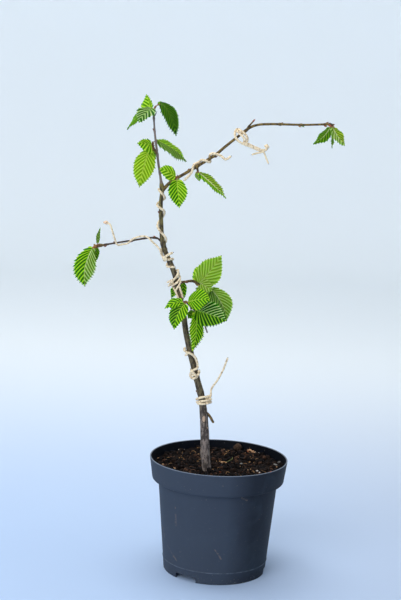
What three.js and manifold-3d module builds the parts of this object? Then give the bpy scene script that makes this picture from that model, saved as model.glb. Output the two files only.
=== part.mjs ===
// A young european hornbeam, trained in a round nursery pot and bound with paper-covered tie wire.
// Millimetres, +Z up. The origin is the centre of the pot's flat underside, and the plant's
// best side looks toward -Y. Each limb, leaf mass and tie is worked out from the sizes below.
import * as THREE from 'three';
import { mergeVertices } from 'three/addons/utils/BufferGeometryUtils.js';
import Module from 'manifold-3d';

const wasm = await Module();
wasm.setup();

// The air left between two pieces that touch
const CLEARANCE = 0.3;

// Nursery pot: a wall that widens to a tall rim band. The wall ends in a foot ring with three drain
// notches, and the floor is raised inside the ring round a flat pad that rests on the ground.
const POT = {
  height: 125, rimRadius: 75, rimRound: 0.6, bandHeight: 24, bandFootRadius: 71.6, bandUnder: 1.2,
  bodyRadius: 65, footRadius: 55.8, footRound: 0.8, footWall: 2, wall: 1.5,
  floor: 2.4, raise: 6.5, padRadius: 28, rampWidth: 5,
  ridgeHeight: 12.5, ridgeProud: 0.6, ridgeWidth: 1.6, sides: 48,
};
const NOTCH = { count: 3, width: 26, height: 6.2, depth: 8, firstAngle: 235.5 };

// Peat filling, nearly level but banked up a little at the back, with one round clod near the back wall
const SOIL = {
  top: 115, levelRadius: 40, edgeDrop: 1.5, bankHeight: 1.8, bankFrom: 15, bankTo: 66, sides: 32,
};
const CLOD = { at: [22.6, 62.5, 119.6], radius: 5, flatten: 0.85, around: 12, down: 8 };

// Limbs: centre-line points with the limb's radius at each, from the root end to the tip
const LIMB = { sides: 10, steps: 1, halvings: 40, samples: 8 };
const TRUNK_POINTS = [
  [-12.5, -24, 113, 5.2], [-13.5, -24, 121, 5.2], [-15, -24, 134, 4.9], [-16.5, -23, 156, 4.7],
  [-18.5, -22, 177, 4.3], [-21.5, -21, 195, 3.7], [-27, -20, 214, 3.5], [-34, -18.5, 238, 3.3],
  [-40.5, -17, 263, 3.1], [-45, -16, 287, 2.9], [-52.5, -14, 316, 2.8], [-57, -14, 330, 2.8],
  [-66, -14, 349, 2.6], [-69.5, -14, 361, 2.4], [-71.5, -13, 382, 2.2], [-72.5, -12, 401, 2.0],
  [-71.6, -12, 414, 2.0], [-73.5, -11, 424, 1.3], [-76.5, -10, 440, 1.2], [-79, -9, 456, 1.1],
  [-81.5, -8, 472, 1.05], [-83.5, -7, 492, 1.0],
];
const BOUGH_RIGHT_POINTS = [
  [-71, -12, 413, 1.9], [-64, -13, 421, 1.8], [-57, -14, 426, 1.7], [-47.5, -14, 432, 1.6],
  [-33, -14, 441.5, 1.6], [-17, -13, 452.5, 1.6], [-7.5, -12, 461, 1.45], [11, -10, 476.5, 1.4],
  [18, -9, 482, 1.4], [26, -8, 484.8, 1.3], [38, -8, 486, 1.25], [73.5, -6, 486.7, 1.15],
  [101, -5, 488.5, 1.1],
];
const BOUGH_LEFT_POINTS = [
  [-69, -14, 357.5, 1.2], [-74.5, -15, 362.5, 1.0], [-81.5, -16, 363, 1.0], [-98.5, -17, 360, 0.95],
  [-116, -16, 356.5, 0.9], [-131.5, -14, 353, 1.0],
];
// Old cut stub low on the trunk, and the dead spur on the right bough, each from root to tip
const STUB_POINTS = [[-18.5, -22, 181, 1.7], [-12.5, -22.5, 176, 1.5], [-8, -23, 169, 1.3]];
const SPUR_POINTS = [[12, -10, 477, 1.0], [17, -10, 484, 0.9], [21, -10.5, 489, 0.7]];

// The block under the peat's surface that the trunk is cut off at
const UNDER = { width: 40, depth: 20 };

// Leaves: a toothed, rounded-base blade on a short stalk that runs on under it as its midrib
const LEAF = {
  stations: 8, thickness: 0.6, stalkRadius: 0.75, stalkSides: 4, midribReach: 0.12, midribTaper: 0.6,
  baseHalf: 1.1, tipHalf: 0.4, tooth: 0.07, roundness: 0.72, sharpness: 1.15, narrowing: 0.12, step: 0.01,
};
const STEM = { sides: 5, steps: 1 };

// Winter buds that stand off each stem by a seeded rule
const BUD = { turn: 137.5, rake: 0.8, shortest: 3, longest: 5, foot: 0.8, waist: 1.0, tip: 0.35, sides: 4 };

// One leaf. `node` is where along its stem the stalk starts, `base` and `tip` are the blade's ends,
// `face` is the way its upper side looks, `bow` is how far it arches out of the straight line,
// `fold` lifts its two halves by degrees. `crest` is where along the blade the arch is highest, `belly`
// how near the tip it is widest, and `halves` the share of the width on each side of the midrib.
function leaf(node, base, tip, width, face, bow, fold, { crest = 0.5, belly = 0.78, halves = [1, 1] } = {}) {
  return { node, base, tip, width, face, bow, fold, crest, belly, halves };
}

// Leaf masses: one woody stem each, its leaves, the bare twigs on it, and the seed of its buds
const MASSES = {
  foliage_top: {
    from: 'trunk', seed: 11, buds: 2,
    stem: [[-83.55, -7, 492.35, 1.0], [-83.2, -7, 496, 1.1], [-81.8, -7, 499.6, 0.9]],
    leaves: [
      leaf(
        1.0, [-80, -7, 501], [-58.5, -14, 470], 20.5, [0.45, -0.72, 0.52], [4, 0, 5.4], 3,
        { crest: 0.33, belly: 0.9, halves: [1, 0.85] },
      ),
      leaf(
        0.7, [-87, -8, 494.5], [-92, -4, 512], 17, [-0.35, -0.88, 0.3], [0.5, 0, 0.5], 10,
        { belly: 0.5, halves: [1.15, 0.45] },
      ),
      leaf(0.5, [-85.8, -9, 498], [-98.3, -22, 483], 24, [-0.42, -0.72, 0.55], [0, 0, 1], 12),
      leaf(0.3, [-88.5, -4, 495.5], [-111.5, 0, 474.5], 20, [-0.61, -0.36, 0.71], [-1.6, 0, 2], 5),
      leaf(0.5, [-86, 0, 495.5], [-96, 22, 487], 13, [-0.3, 0.3, 0.9], [0, 0, 3], 10),
    ],
  },
  foliage_second: {
    from: 'trunk', seed: 23, buds: 1,
    stem: [
      [-78.4, -9.3, 449.5, 0.9], [-81.2, -12, 455, 1.0], [-82.8, -12.5, 458.5, 1.2],
      [-83.2, -11.5, 462.5, 1.0],
    ],
    leaves: [
      leaf(
        0.7, [-83.8, -13, 459.8], [-98.2, -27, 461.2], 21, [0.4, -0.85, 0.35], [0, -1, 1], 12,
        { belly: 0.6, halves: [1.15, 0.5] },
      ),
      leaf(
        0.4, [-87, -14, 455], [-95.4, -22, 415.5], 23.5, [-0.15, -0.95, 0.2], [-0.5, -1, 0], 4,
        { belly: 0.84 },
      ),
      leaf(
        1.0, [-80, -5.5, 464.8], [-47.2, 6, 443.4], 25, [0.42, -0.45, 0.79], [1.2, 0, 2.4], 0,
        { belly: 1 },
      ),
      leaf(0.7, [-85, -6, 456], [-93, 17, 429], 17, [-0.2, 0.8, 0.5], [0, 2, 1], 8),
    ],
  },
  foliage_fork: {
    from: 'bough_right', seed: 37, buds: 1,
    stem: [[-57, -14, 426, 1.0], [-56.8, -16.5, 426.5, 1.3], [-56.6, -18.5, 426.4, 1.0]],
    leaves: [
      leaf(0.8, [-57.5, -18, 428], [-74.6, -27, 436.8], 17, [0.25, -0.8, 0.45], [0, -1, 0.8], 5),
      leaf(1.0, [-56.5, -19.5, 425], [-52.5, -26, 396], 20.5, [0.1, -0.95, 0.25], [0, -1, 0], 4),
    ],
  },
  foliage_fork_back: {
    from: 'bough_right', seed: 41, buds: 1,
    stem: [[-56, -14, 426.5, 0.9], [-56, -11, 426.5, 1.1], [-56, -9.5, 426, 0.9]],
    leaves: [
      leaf(1.0, [-56, -8, 425], [-54.5, 12, 402], 15, [0, 0.9, 0.4], [0, 2, 1], 8),
    ],
  },
  foliage_inner: {
    from: 'bough_right', seed: 53, buds: 1,
    stem: [[-36, -14, 439.5, 1.0], [-35.5, -14.5, 436.5, 1.2], [-35, -15, 434.4, 1.0]],
    leaves: [
      leaf(1.0, [-34.3, -15, 433.2], [-4, -19, 408], 17.5, [0.58, -0.52, 0.63], [0.5, 0, 0.5], 18),
      leaf(0.8, [-36, -12, 433.5], [-32.5, -9, 423.5], 7, [-0.2, -0.9, 0.3], [0, 0, 0], 14),
    ],
  },
  foliage_right_tip: {
    from: 'bough_right', seed: 67, buds: 1,
    stem: [[101.35, -5, 488.45, 1.1], [103.2, -5, 487.4, 1.5], [103.6, -5.3, 486, 1.2]],
    leaves: [
      leaf(0.9, [101.3, -6.5, 485.8], [83.5, -14, 468], 14.5, [-0.5, -0.7, 0.5], [1.7, 0, -1.7], 6),
      leaf(1.0, [103.8, -6.5, 485.2], [117, -14, 467.5], 16, [0.45, -0.8, 0.4], [-0.8, 0, -0.6], 14),
      leaf(1.0, [103.4, -3.5, 484], [105.5, 3, 463], 12, [0.97, 0.05, 0.2], [0, 0, 0], 10),
    ],
  },
  foliage_left_tip: {
    from: 'bough_left', seed: 71, buds: 1,
    stem: [[-131.85, -13.95, 352.95, 1.1], [-135.5, -13.6, 352.4, 2.0], [-139.5, -14, 351.6, 1.1]],
    leaves: [
      leaf(
        1.0, [-142, -15, 350.6], [-149, -20, 309], 25, [0.05, -0.95, 0.2], [-4, -1, 0], 6,
        { halves: [0.92, 1] },
      ),
      leaf(
        0.7, [-137.5, -13.4, 354.5], [-135, -10, 371.5], 6, [0.3, -0.9, 0.2], [-0.8, 0, 0.3], 15,
        { belly: 0.6 },
      ),
      leaf(0.9, [-138, -13, 350], [-139.6, -12, 334.5], 7, [0.3, -0.9, 0.1], [0, 0, 0], 12),
      leaf(0.7, [-139.5, -9.5, 349], [-155, 12, 319], 15, [-0.2, 0.9, 0.35], [0, 2, 1], 8),
    ],
  },
  foliage_middle_back: {
    from: 'trunk', seed: 83, buds: 2,
    stem: [
      [-52, -13.5, 316, 1.1], [-43, -7, 317, 1.1], [-35.5, 1.5, 316.5, 1.4], [-26, 8, 311.5, 1.0],
      [-18, 11.5, 311, 0.9],
    ],
    leaves: [
      leaf(
        0.55, [-31.2, 5, 311.6], [-5.6, 14, 344.2], 32, [0.15, -0.93, -0.3], [0.6, 0, -0.6], 6,
        { belly: 0.84, halves: [0.92, 1] },
      ),
      leaf(
        1.0, [-16.5, 12.5, 307.6], [2.9, 10, 273.9], 28, [0.35, -0.9, 0.2], [2.8, 0, 1.6], 8,
        { belly: 0.98, halves: [0.94, 1] },
      ),
      leaf(0.55, [-29, 6.5, 315], [-14, 3, 306.5], 15, [0.1, -0.93, 0.3], [0, 0, 0], 8),
      leaf(0.2, [-47.5, -4, 316.8], [-45, 0, 296], 9, [0.3, -0.9, 0.2], [0.5, 0, 0], 12),
      leaf(0.2, [-53, -3.5, 312], [-58, -1.5, 297.5], 9, [-0.3, -0.9, 0.2], [0, 0, 0], 12),
      leaf(0.55, [-32.5, 8.5, 316.5], [-16, 38, 333], 20, [-0.1, -0.4, 0.9], [0, 0, 3], 8),
      leaf(0.75, [-28.5, 12.5, 309], [-11, 34, 285], 20, [0.3, 0.7, 0.6], [0, 2, 2], 8),
    ],
  },
  foliage_middle_front: {
    from: 'trunk', seed: 97, buds: 2,
    stem: [
      [-46.8, -15, 294.5, 1.1], [-44, -24, 297, 1.1], [-41.3, -31, 298.5, 1.3], [-37, -29.5, 294, 1.0],
      [-32, -27, 289.5, 1.2],
    ],
    twig: [[-32, -27, 289.5, 0.9], [-27, -22.5, 283, 0.8], [-22, -20, 274.5, 0.8], [-18, -17.5, 264.2, 0.7]],
    leaves: [
      leaf(
        0.5, [-40, -32.5, 299], [-17.5, -50, 305], 24, [-0.4, -0.8, 0.35], [0, -1, 1.5], 5,
        { belly: 0.95 },
      ),
      leaf(
        1.0, [-31.5, -28, 290.2], [1.5, -42, 282.5], 27, [0.25, -0.85, 0.35], [0, -1, 0.5], 8,
        { halves: [1.08, 1.15] },
      ),
      leaf(
        1.0, [-31.7, -28, 288], [-32.7, -35, 247], 19, [0.6, -0.78, 0.15], [2.4, 0, 0], 12,
        { belly: 0.86 },
      ),
      leaf(0.5, [-42.5, -34, 297.8], [-53.3, -48, 272], 21, [-0.35, -0.8, 0.35], [-2.4, 0, 1], 8),
      leaf(0.4, [-45, -30, 298.6], [-64, -36, 291.5], 13, [-0.2, -0.7, 0.6], [0, 0, 2], 8),
      leaf(1.0, [-33.5, -24.5, 288.6], [-39.5, -26, 280], 9, [-0.4, -0.8, 0.3], [0, 0, 0], 12),
    ],
  },
};

// Tie wire: paper-covered, wound round the limbs by hand; `grip` is the air under a tight turn
const WIRE = { radius: 1.2, sides: 5, grip: 0.5, degreesPerPoint: 42, stepsPerPoint: 1.15, thinEnd: 0.8 };

// Repeatable random numbers between 0 and 1 from a whole-number seed
function seeded(seed) {
  let state = seed;
  return () => {
    state = (state * 48271) % 2147483647;
    return state / 2147483647;
  };
}

// One limb: a smooth centre line through its points, with a radius that follows them
class Limb {
  constructor(points, axis = 'z') {
    this.points = points;
    this.axis = axis;
    this.curve = new THREE.CatmullRomCurve3(points.map(([x, y, z]) => new THREE.Vector3(x, y, z)));
  }

  // The limb's radius at a fraction t of its points
  radius(t) {
    const place = t * (this.points.length - 1);
    const first = Math.min(Math.floor(place), this.points.length - 2);
    return THREE.MathUtils.lerp(this.points[first][3], this.points[first + 1][3], place - first);
  }

  // The fraction t at which the limb's own axis coordinate (x or z) reaches a value
  fractionAt(value) {
    let low = 0;
    let high = 1;
    const rising = this.curve.getPoint(1)[this.axis] > this.curve.getPoint(0)[this.axis];
    for (let i = 0; i < LIMB.halvings; i += 1) {
      const middle = (low + high) / 2;
      const below = this.curve.getPoint(middle)[this.axis] < value;
      if (below === rising) low = middle;
      else high = middle;
    }
    return (low + high) / 2;
  }

  // Centre, front and side directions at t; the front looks toward -Y as far as it can
  frame(t) {
    const centre = this.curve.getPoint(t);
    const tangent = this.curve.getTangent(t);
    const front = new THREE.Vector3(0, -1, 0).addScaledVector(tangent, tangent.y).normalize();
    const side = new THREE.Vector3().crossVectors(tangent, front);
    return { centre, tangent, front, side };
  }

  // A point beside the limb, `away` outside its bark, turned by degrees from its front
  beside(value, degrees, away) {
    const t = this.fractionAt(value);
    const { centre, front, side } = this.frame(t);
    const angle = THREE.MathUtils.degToRad(degrees);
    const reach = this.radius(t) + away;
    return centre
      .addScaledVector(front, reach * Math.cos(angle))
      .addScaledVector(side, reach * Math.sin(angle));
  }

  // How far a point lies outside the limb's bark
  clearOf(point) {
    const count = LIMB.samples * this.points.length;
    let least = Infinity;
    for (let i = 0; i <= count; i += 1) {
      const t = i / count;
      least = Math.min(least, this.curve.getPoint(t).distanceTo(point) - this.radius(t));
    }
    return least;
  }

  // The limb's closed solid, made thicker by `grow`
  solid({ grow = 0, sides = LIMB.sides, steps = LIMB.steps } = {}) {
    const rings = steps * (this.points.length - 1);
    const geometry = new THREE.CylinderGeometry(1, 1, 1, sides, rings);
    const place = geometry.attributes.position;
    const vertex = new THREE.Vector3();
    for (let i = 0; i < place.count; i += 1) {
      vertex.fromBufferAttribute(place, i);
      const t = vertex.y + 0.5;
      const { centre, front, side } = this.frame(t);
      const reach = this.radius(t) + grow;
      centre.addScaledVector(side, vertex.x * reach).addScaledVector(front, vertex.z * reach);
      place.setXYZ(i, centre.x, centre.y, centre.z);
    }
    return toSolid(geometry);
  }
}

// A closed solid from a closed geometry, with its shared corners merged
function toSolid(geometry) {
  geometry.deleteAttribute('normal');
  geometry.deleteAttribute('uv');
  const merged = mergeVertices(geometry, 1e-4);
  const mesh = new wasm.Mesh({
    numProp: 3,
    vertProperties: new Float32Array(merged.attributes.position.array),
    triVerts: new Uint32Array(merged.index.array),
  });
  const solid = new wasm.Manifold(mesh);
  if (solid.volume() < 0) throw new Error('a closed geometry has its faces turned inward');
  return solid;
}

// A named mesh from a closed solid
function toMesh(name, solid, material) {
  const mesh = solid.getMesh();
  const geometry = new THREE.BufferGeometry();
  geometry.setAttribute('position', new THREE.BufferAttribute(new Float32Array(mesh.vertProperties), 3));
  geometry.setIndex(new THREE.BufferAttribute(new Uint32Array(mesh.triVerts), 1));
  geometry.computeVertexNormals();
  const result = new THREE.Mesh(geometry, material);
  result.name = name;
  return result;
}

function joined(solids) {
  return solids.reduce((whole, next) => whole.add(next));
}

function turned(profile, sides) {
  const geometry = new THREE.LatheGeometry(profile.map(([r, z]) => new THREE.Vector2(r, z)), sides);
  geometry.rotateX(Math.PI / 2);
  return toSolid(geometry);
}

// The outer radius of the pot's body at a height
function bodyRadius(height) {
  return THREE.MathUtils.mapLinear(height, 0, POT.height - POT.bandHeight, POT.footRadius, POT.bodyRadius);
}

// The outer radius of the pot's rim band at a height
function bandRadius(height) {
  const up = (height - POT.height + POT.bandHeight) / POT.bandHeight;
  return THREE.MathUtils.lerp(POT.bandFootRadius, POT.rimRadius, up);
}

function potSolid() {
  const band = POT.height - POT.bandHeight;
  const ridge = POT.ridgeHeight;
  const plate = POT.raise + POT.floor;
  const profile = [
    [0, 0], [POT.padRadius, 0], [POT.padRadius + POT.rampWidth, POT.raise],
    [POT.footRadius - POT.footWall, POT.raise], [POT.footRadius - POT.footWall, 0],
    [POT.footRadius - POT.footRound, 0], [bodyRadius(POT.footRound), POT.footRound],
    [bodyRadius(ridge), ridge], [bodyRadius(ridge) + POT.ridgeProud, ridge + POT.ridgeWidth / 2],
    [bodyRadius(ridge + POT.ridgeWidth), ridge + POT.ridgeWidth], [bodyRadius(band), band],
    [POT.bandFootRadius - POT.bandUnder, band], [bandRadius(band + POT.bandUnder), band + POT.bandUnder],
    [bandRadius(POT.height - POT.rimRound), POT.height - POT.rimRound],
    [POT.rimRadius - POT.rimRound, POT.height], [POT.rimRadius - POT.wall, POT.height],
    [POT.bandFootRadius - POT.wall, band + POT.wall], [bodyRadius(band) - POT.wall, band + POT.wall],
    [bodyRadius(plate) - POT.wall, plate], [POT.padRadius + POT.rampWidth, plate],
    [POT.padRadius, POT.floor], [0, POT.floor],
  ];
  let pot = turned(profile, POT.sides);
  for (let i = 0; i < NOTCH.count; i += 1) {
    const angle = THREE.MathUtils.degToRad(NOTCH.firstAngle + (i * 360) / NOTCH.count);
    const block = new THREE.BoxGeometry(NOTCH.depth, NOTCH.width, 2 * NOTCH.height);
    block.translate(POT.footRadius - POT.footWall, 0, 0);
    block.rotateZ(angle);
    pot = pot.subtract(toSolid(block));
  }
  return pot;
}

function soilSolid() {
  const inset = POT.wall + 2 * CLEARANCE;
  const foot = POT.floor + CLEARANCE;
  const plate = POT.raise + foot;
  const band = POT.height - POT.bandHeight + POT.wall + CLEARANCE;
  const edge = SOIL.top - SOIL.edgeDrop;
  const filling = turned([
    [0, foot], [POT.padRadius - CLEARANCE, foot], [POT.padRadius + POT.rampWidth - CLEARANCE, plate],
    [bodyRadius(plate) - inset, plate], [bodyRadius(band) - inset, band],
    [bandRadius(band) - inset, band], [bandRadius(edge) - inset, edge],
    [SOIL.levelRadius, SOIL.top], [0, SOIL.top],
  ], SOIL.sides).warp((point) => {
    const bank = THREE.MathUtils.smoothstep(point[1], SOIL.bankFrom, SOIL.bankTo);
    if (point[2] > edge - CLEARANCE) point[2] += SOIL.bankHeight * bank;
  });
  const clod = new THREE.SphereGeometry(CLOD.radius, CLOD.around, CLOD.down);
  clod.scale(1, 1, CLOD.flatten);
  clod.translate(...CLOD.at);
  return filling.add(toSolid(clod));
}

// A point on a blade's midrib at u along it, arched by its bow
function midrib({ base, tip, bow, crest }, u) {
  const arch = u ** (Math.log(0.5) / Math.log(crest));
  return new THREE.Vector3(...base)
    .lerp(new THREE.Vector3(...tip), u)
    .addScaledVector(new THREE.Vector3(...bow), 4 * arch * (1 - arch));
}

// Half the blade's width at u along it, before its teeth: round at the base, drawn out at the tip
function halfWidth(u, { width, belly }) {
  const outline = Math.max(Math.sin(Math.PI * u ** belly), 0);
  const drawn = THREE.MathUtils.lerp(LEAF.roundness, LEAF.sharpness, THREE.MathUtils.smoothstep(u, 0.5, 1));
  const least = THREE.MathUtils.lerp(LEAF.baseHalf, LEAF.tipHalf, u);
  return Math.max(least, (width / 2) * outline ** drawn * (1 - LEAF.narrowing * u));
}

// One blade: a thin box bent to the leaf's outline, arch and fold, with a tooth at every second station
function bladeSolid(shape, random) {
  const angle = THREE.MathUtils.degToRad(shape.fold);
  const teeth = Array.from({ length: LEAF.stations + 1 }, (_, i) => (
    1 + LEAF.tooth * (i % 2 === 0 ? 1 : -1) * (0.5 + random())
  ));
  const geometry = new THREE.BoxGeometry(1, 2, 1, LEAF.stations, 2, 1);
  const place = geometry.attributes.position;
  for (let i = 0; i < place.count; i += 1) {
    const u = place.getX(i) + 0.5;
    const across = place.getY(i);
    const share = across > 0 ? shape.halves[0] : shape.halves[1];
    const half = halfWidth(u, shape) * share * teeth[Math.round(u * LEAF.stations)];
    const behind = midrib(shape, Math.max(u - LEAF.step, 0));
    const tangent = midrib(shape, Math.min(u + LEAF.step, 1)).sub(behind).normalize();
    const upward = new THREE.Vector3(...shape.face);
    upward.addScaledVector(tangent, -upward.dot(tangent)).normalize();
    const side = new THREE.Vector3().crossVectors(upward, tangent);
    const point = midrib(shape, u).addScaledVector(side, across * half * Math.cos(angle));
    const lift = Math.abs(across) * half * Math.sin(angle) + place.getZ(i) * LEAF.thickness;
    point.addScaledVector(upward, lift);
    place.setXYZ(i, point.x, point.y, point.z);
  }
  return toSolid(geometry);
}

// A leaf: its blade, with a stalk from the stem that is sunk into the blade's underside
function leafSolid(shape, stem, random) {
  const root = stem.curve.getPoint(shape.node).toArray();
  const rib = midrib(shape, LEAF.midribReach).toArray();
  const stalk = new Limb([
    [...root, LEAF.stalkRadius], [...shape.base, LEAF.stalkRadius],
    [...rib, LEAF.stalkRadius * LEAF.midribTaper],
  ]);
  return bladeSolid(shape, random).add(stalk.solid({ sides: LEAF.stalkSides }));
}

// The buds of one stem, each turned on from the one before; one that would touch the limb is skipped
function budSolids(stem, count, limb, random) {
  const buds = [];
  for (let i = 0; i < count; i += 1) {
    const { centre, tangent, front, side } = stem.frame((i + 0.4 + 0.4 * random()) / count);
    const angle = THREE.MathUtils.degToRad(BUD.turn * i + 360 * random());
    const length = THREE.MathUtils.lerp(BUD.shortest, BUD.longest, random());
    const way = tangent.clone().multiplyScalar(BUD.rake);
    way.addScaledVector(front, Math.cos(angle)).addScaledVector(side, Math.sin(angle)).normalize();
    const middle = centre.clone().addScaledVector(way, length / 2);
    const end = centre.clone().addScaledVector(way, length);
    if (limb.clearOf(middle) > BUD.waist + CLEARANCE && limb.clearOf(end) > BUD.tip + CLEARANCE) {
      const bud = new Limb([
        [...centre.toArray(), BUD.foot], [...middle.toArray(), BUD.waist], [...end.toArray(), BUD.tip],
      ]);
      buds.push(bud.solid({ sides: BUD.sides }));
    }
  }
  return buds;
}

// A leaf mass: stem, buds, twig and leaves in one piece, cut clear of the limb that carries it
function massSolid(mass) {
  const random = seeded(mass.seed);
  const stem = new Limb(mass.stem);
  const limb = LIMBS[mass.from];
  const pieces = [stem.solid(STEM), ...budSolids(stem, mass.buds, limb, random)];
  if (mass.twig) pieces.push(new Limb(mass.twig).solid(STEM));
  pieces.push(...mass.leaves.map((shape) => leafSolid(shape, stem, random)));
  return joined(pieces).subtract(limb.solid({ grow: CLEARANCE }));
}

// Points wound round a limb: each stop is where along the limb, the turn in degrees, and the slack
function wound(limb, stops) {
  const points = [];
  stops.slice(1).forEach((stop, i) => {
    const [at, turn, slack] = stops[i];
    const count = Math.max(1, Math.round(Math.abs(stop[1] - turn) / WIRE.degreesPerPoint));
    for (let k = points.length ? 1 : 0; k <= count; k += 1) {
      const f = k / count;
      const away = WIRE.radius + WIRE.grip + THREE.MathUtils.lerp(slack, stop[2], f);
      const place = THREE.MathUtils.lerp(at, stop[0], f);
      points.push(limb.beside(place, THREE.MathUtils.lerp(turn, stop[1], f), away));
    }
  });
  return points;
}

// Points in the open, where a strand has left the limb
function free(...list) {
  return list.map(([x, y, z]) => new THREE.Vector3(x, y, z));
}

// One strand of tie wire through its points
function strand(points, radius = WIRE.radius) {
  const curve = new THREE.CatmullRomCurve3(points, false, 'centripetal');
  const section = new THREE.Shape();
  for (let i = 0; i < WIRE.sides; i += 1) {
    const angle = (i * 2 * Math.PI) / WIRE.sides;
    if (i === 0) section.moveTo(radius, 0);
    else section.lineTo(radius * Math.cos(angle), radius * Math.sin(angle));
  }
  const steps = Math.ceil(points.length * WIRE.stepsPerPoint);
  return toSolid(new THREE.ExtrudeGeometry(section, { steps, extrudePath: curve, bevelEnabled: false }));
}

const LIMBS = {
  trunk: new Limb(TRUNK_POINTS, 'z'),
  bough_right: new Limb(BOUGH_RIGHT_POINTS, 'x'),
  bough_left: new Limb(BOUGH_LEFT_POINTS, 'x'),
};

// The trunk with its old stub, cut flat where it leaves the peat
function trunkSolid() {
  const [x, y] = TRUNK_POINTS[0];
  const below = new THREE.BoxGeometry(UNDER.width, UNDER.width, UNDER.depth);
  below.translate(x, y, SOIL.top + CLEARANCE - UNDER.depth / 2);
  return LIMBS.trunk.solid().add(new Limb(STUB_POINTS).solid()).subtract(toSolid(below));
}

// A bough, cut clear of the trunk
function boughSolid(name, extra = []) {
  return joined([LIMBS[name].solid(), ...extra]).subtract(LIMBS.trunk.solid({ grow: CLEARANCE }));
}

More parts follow.
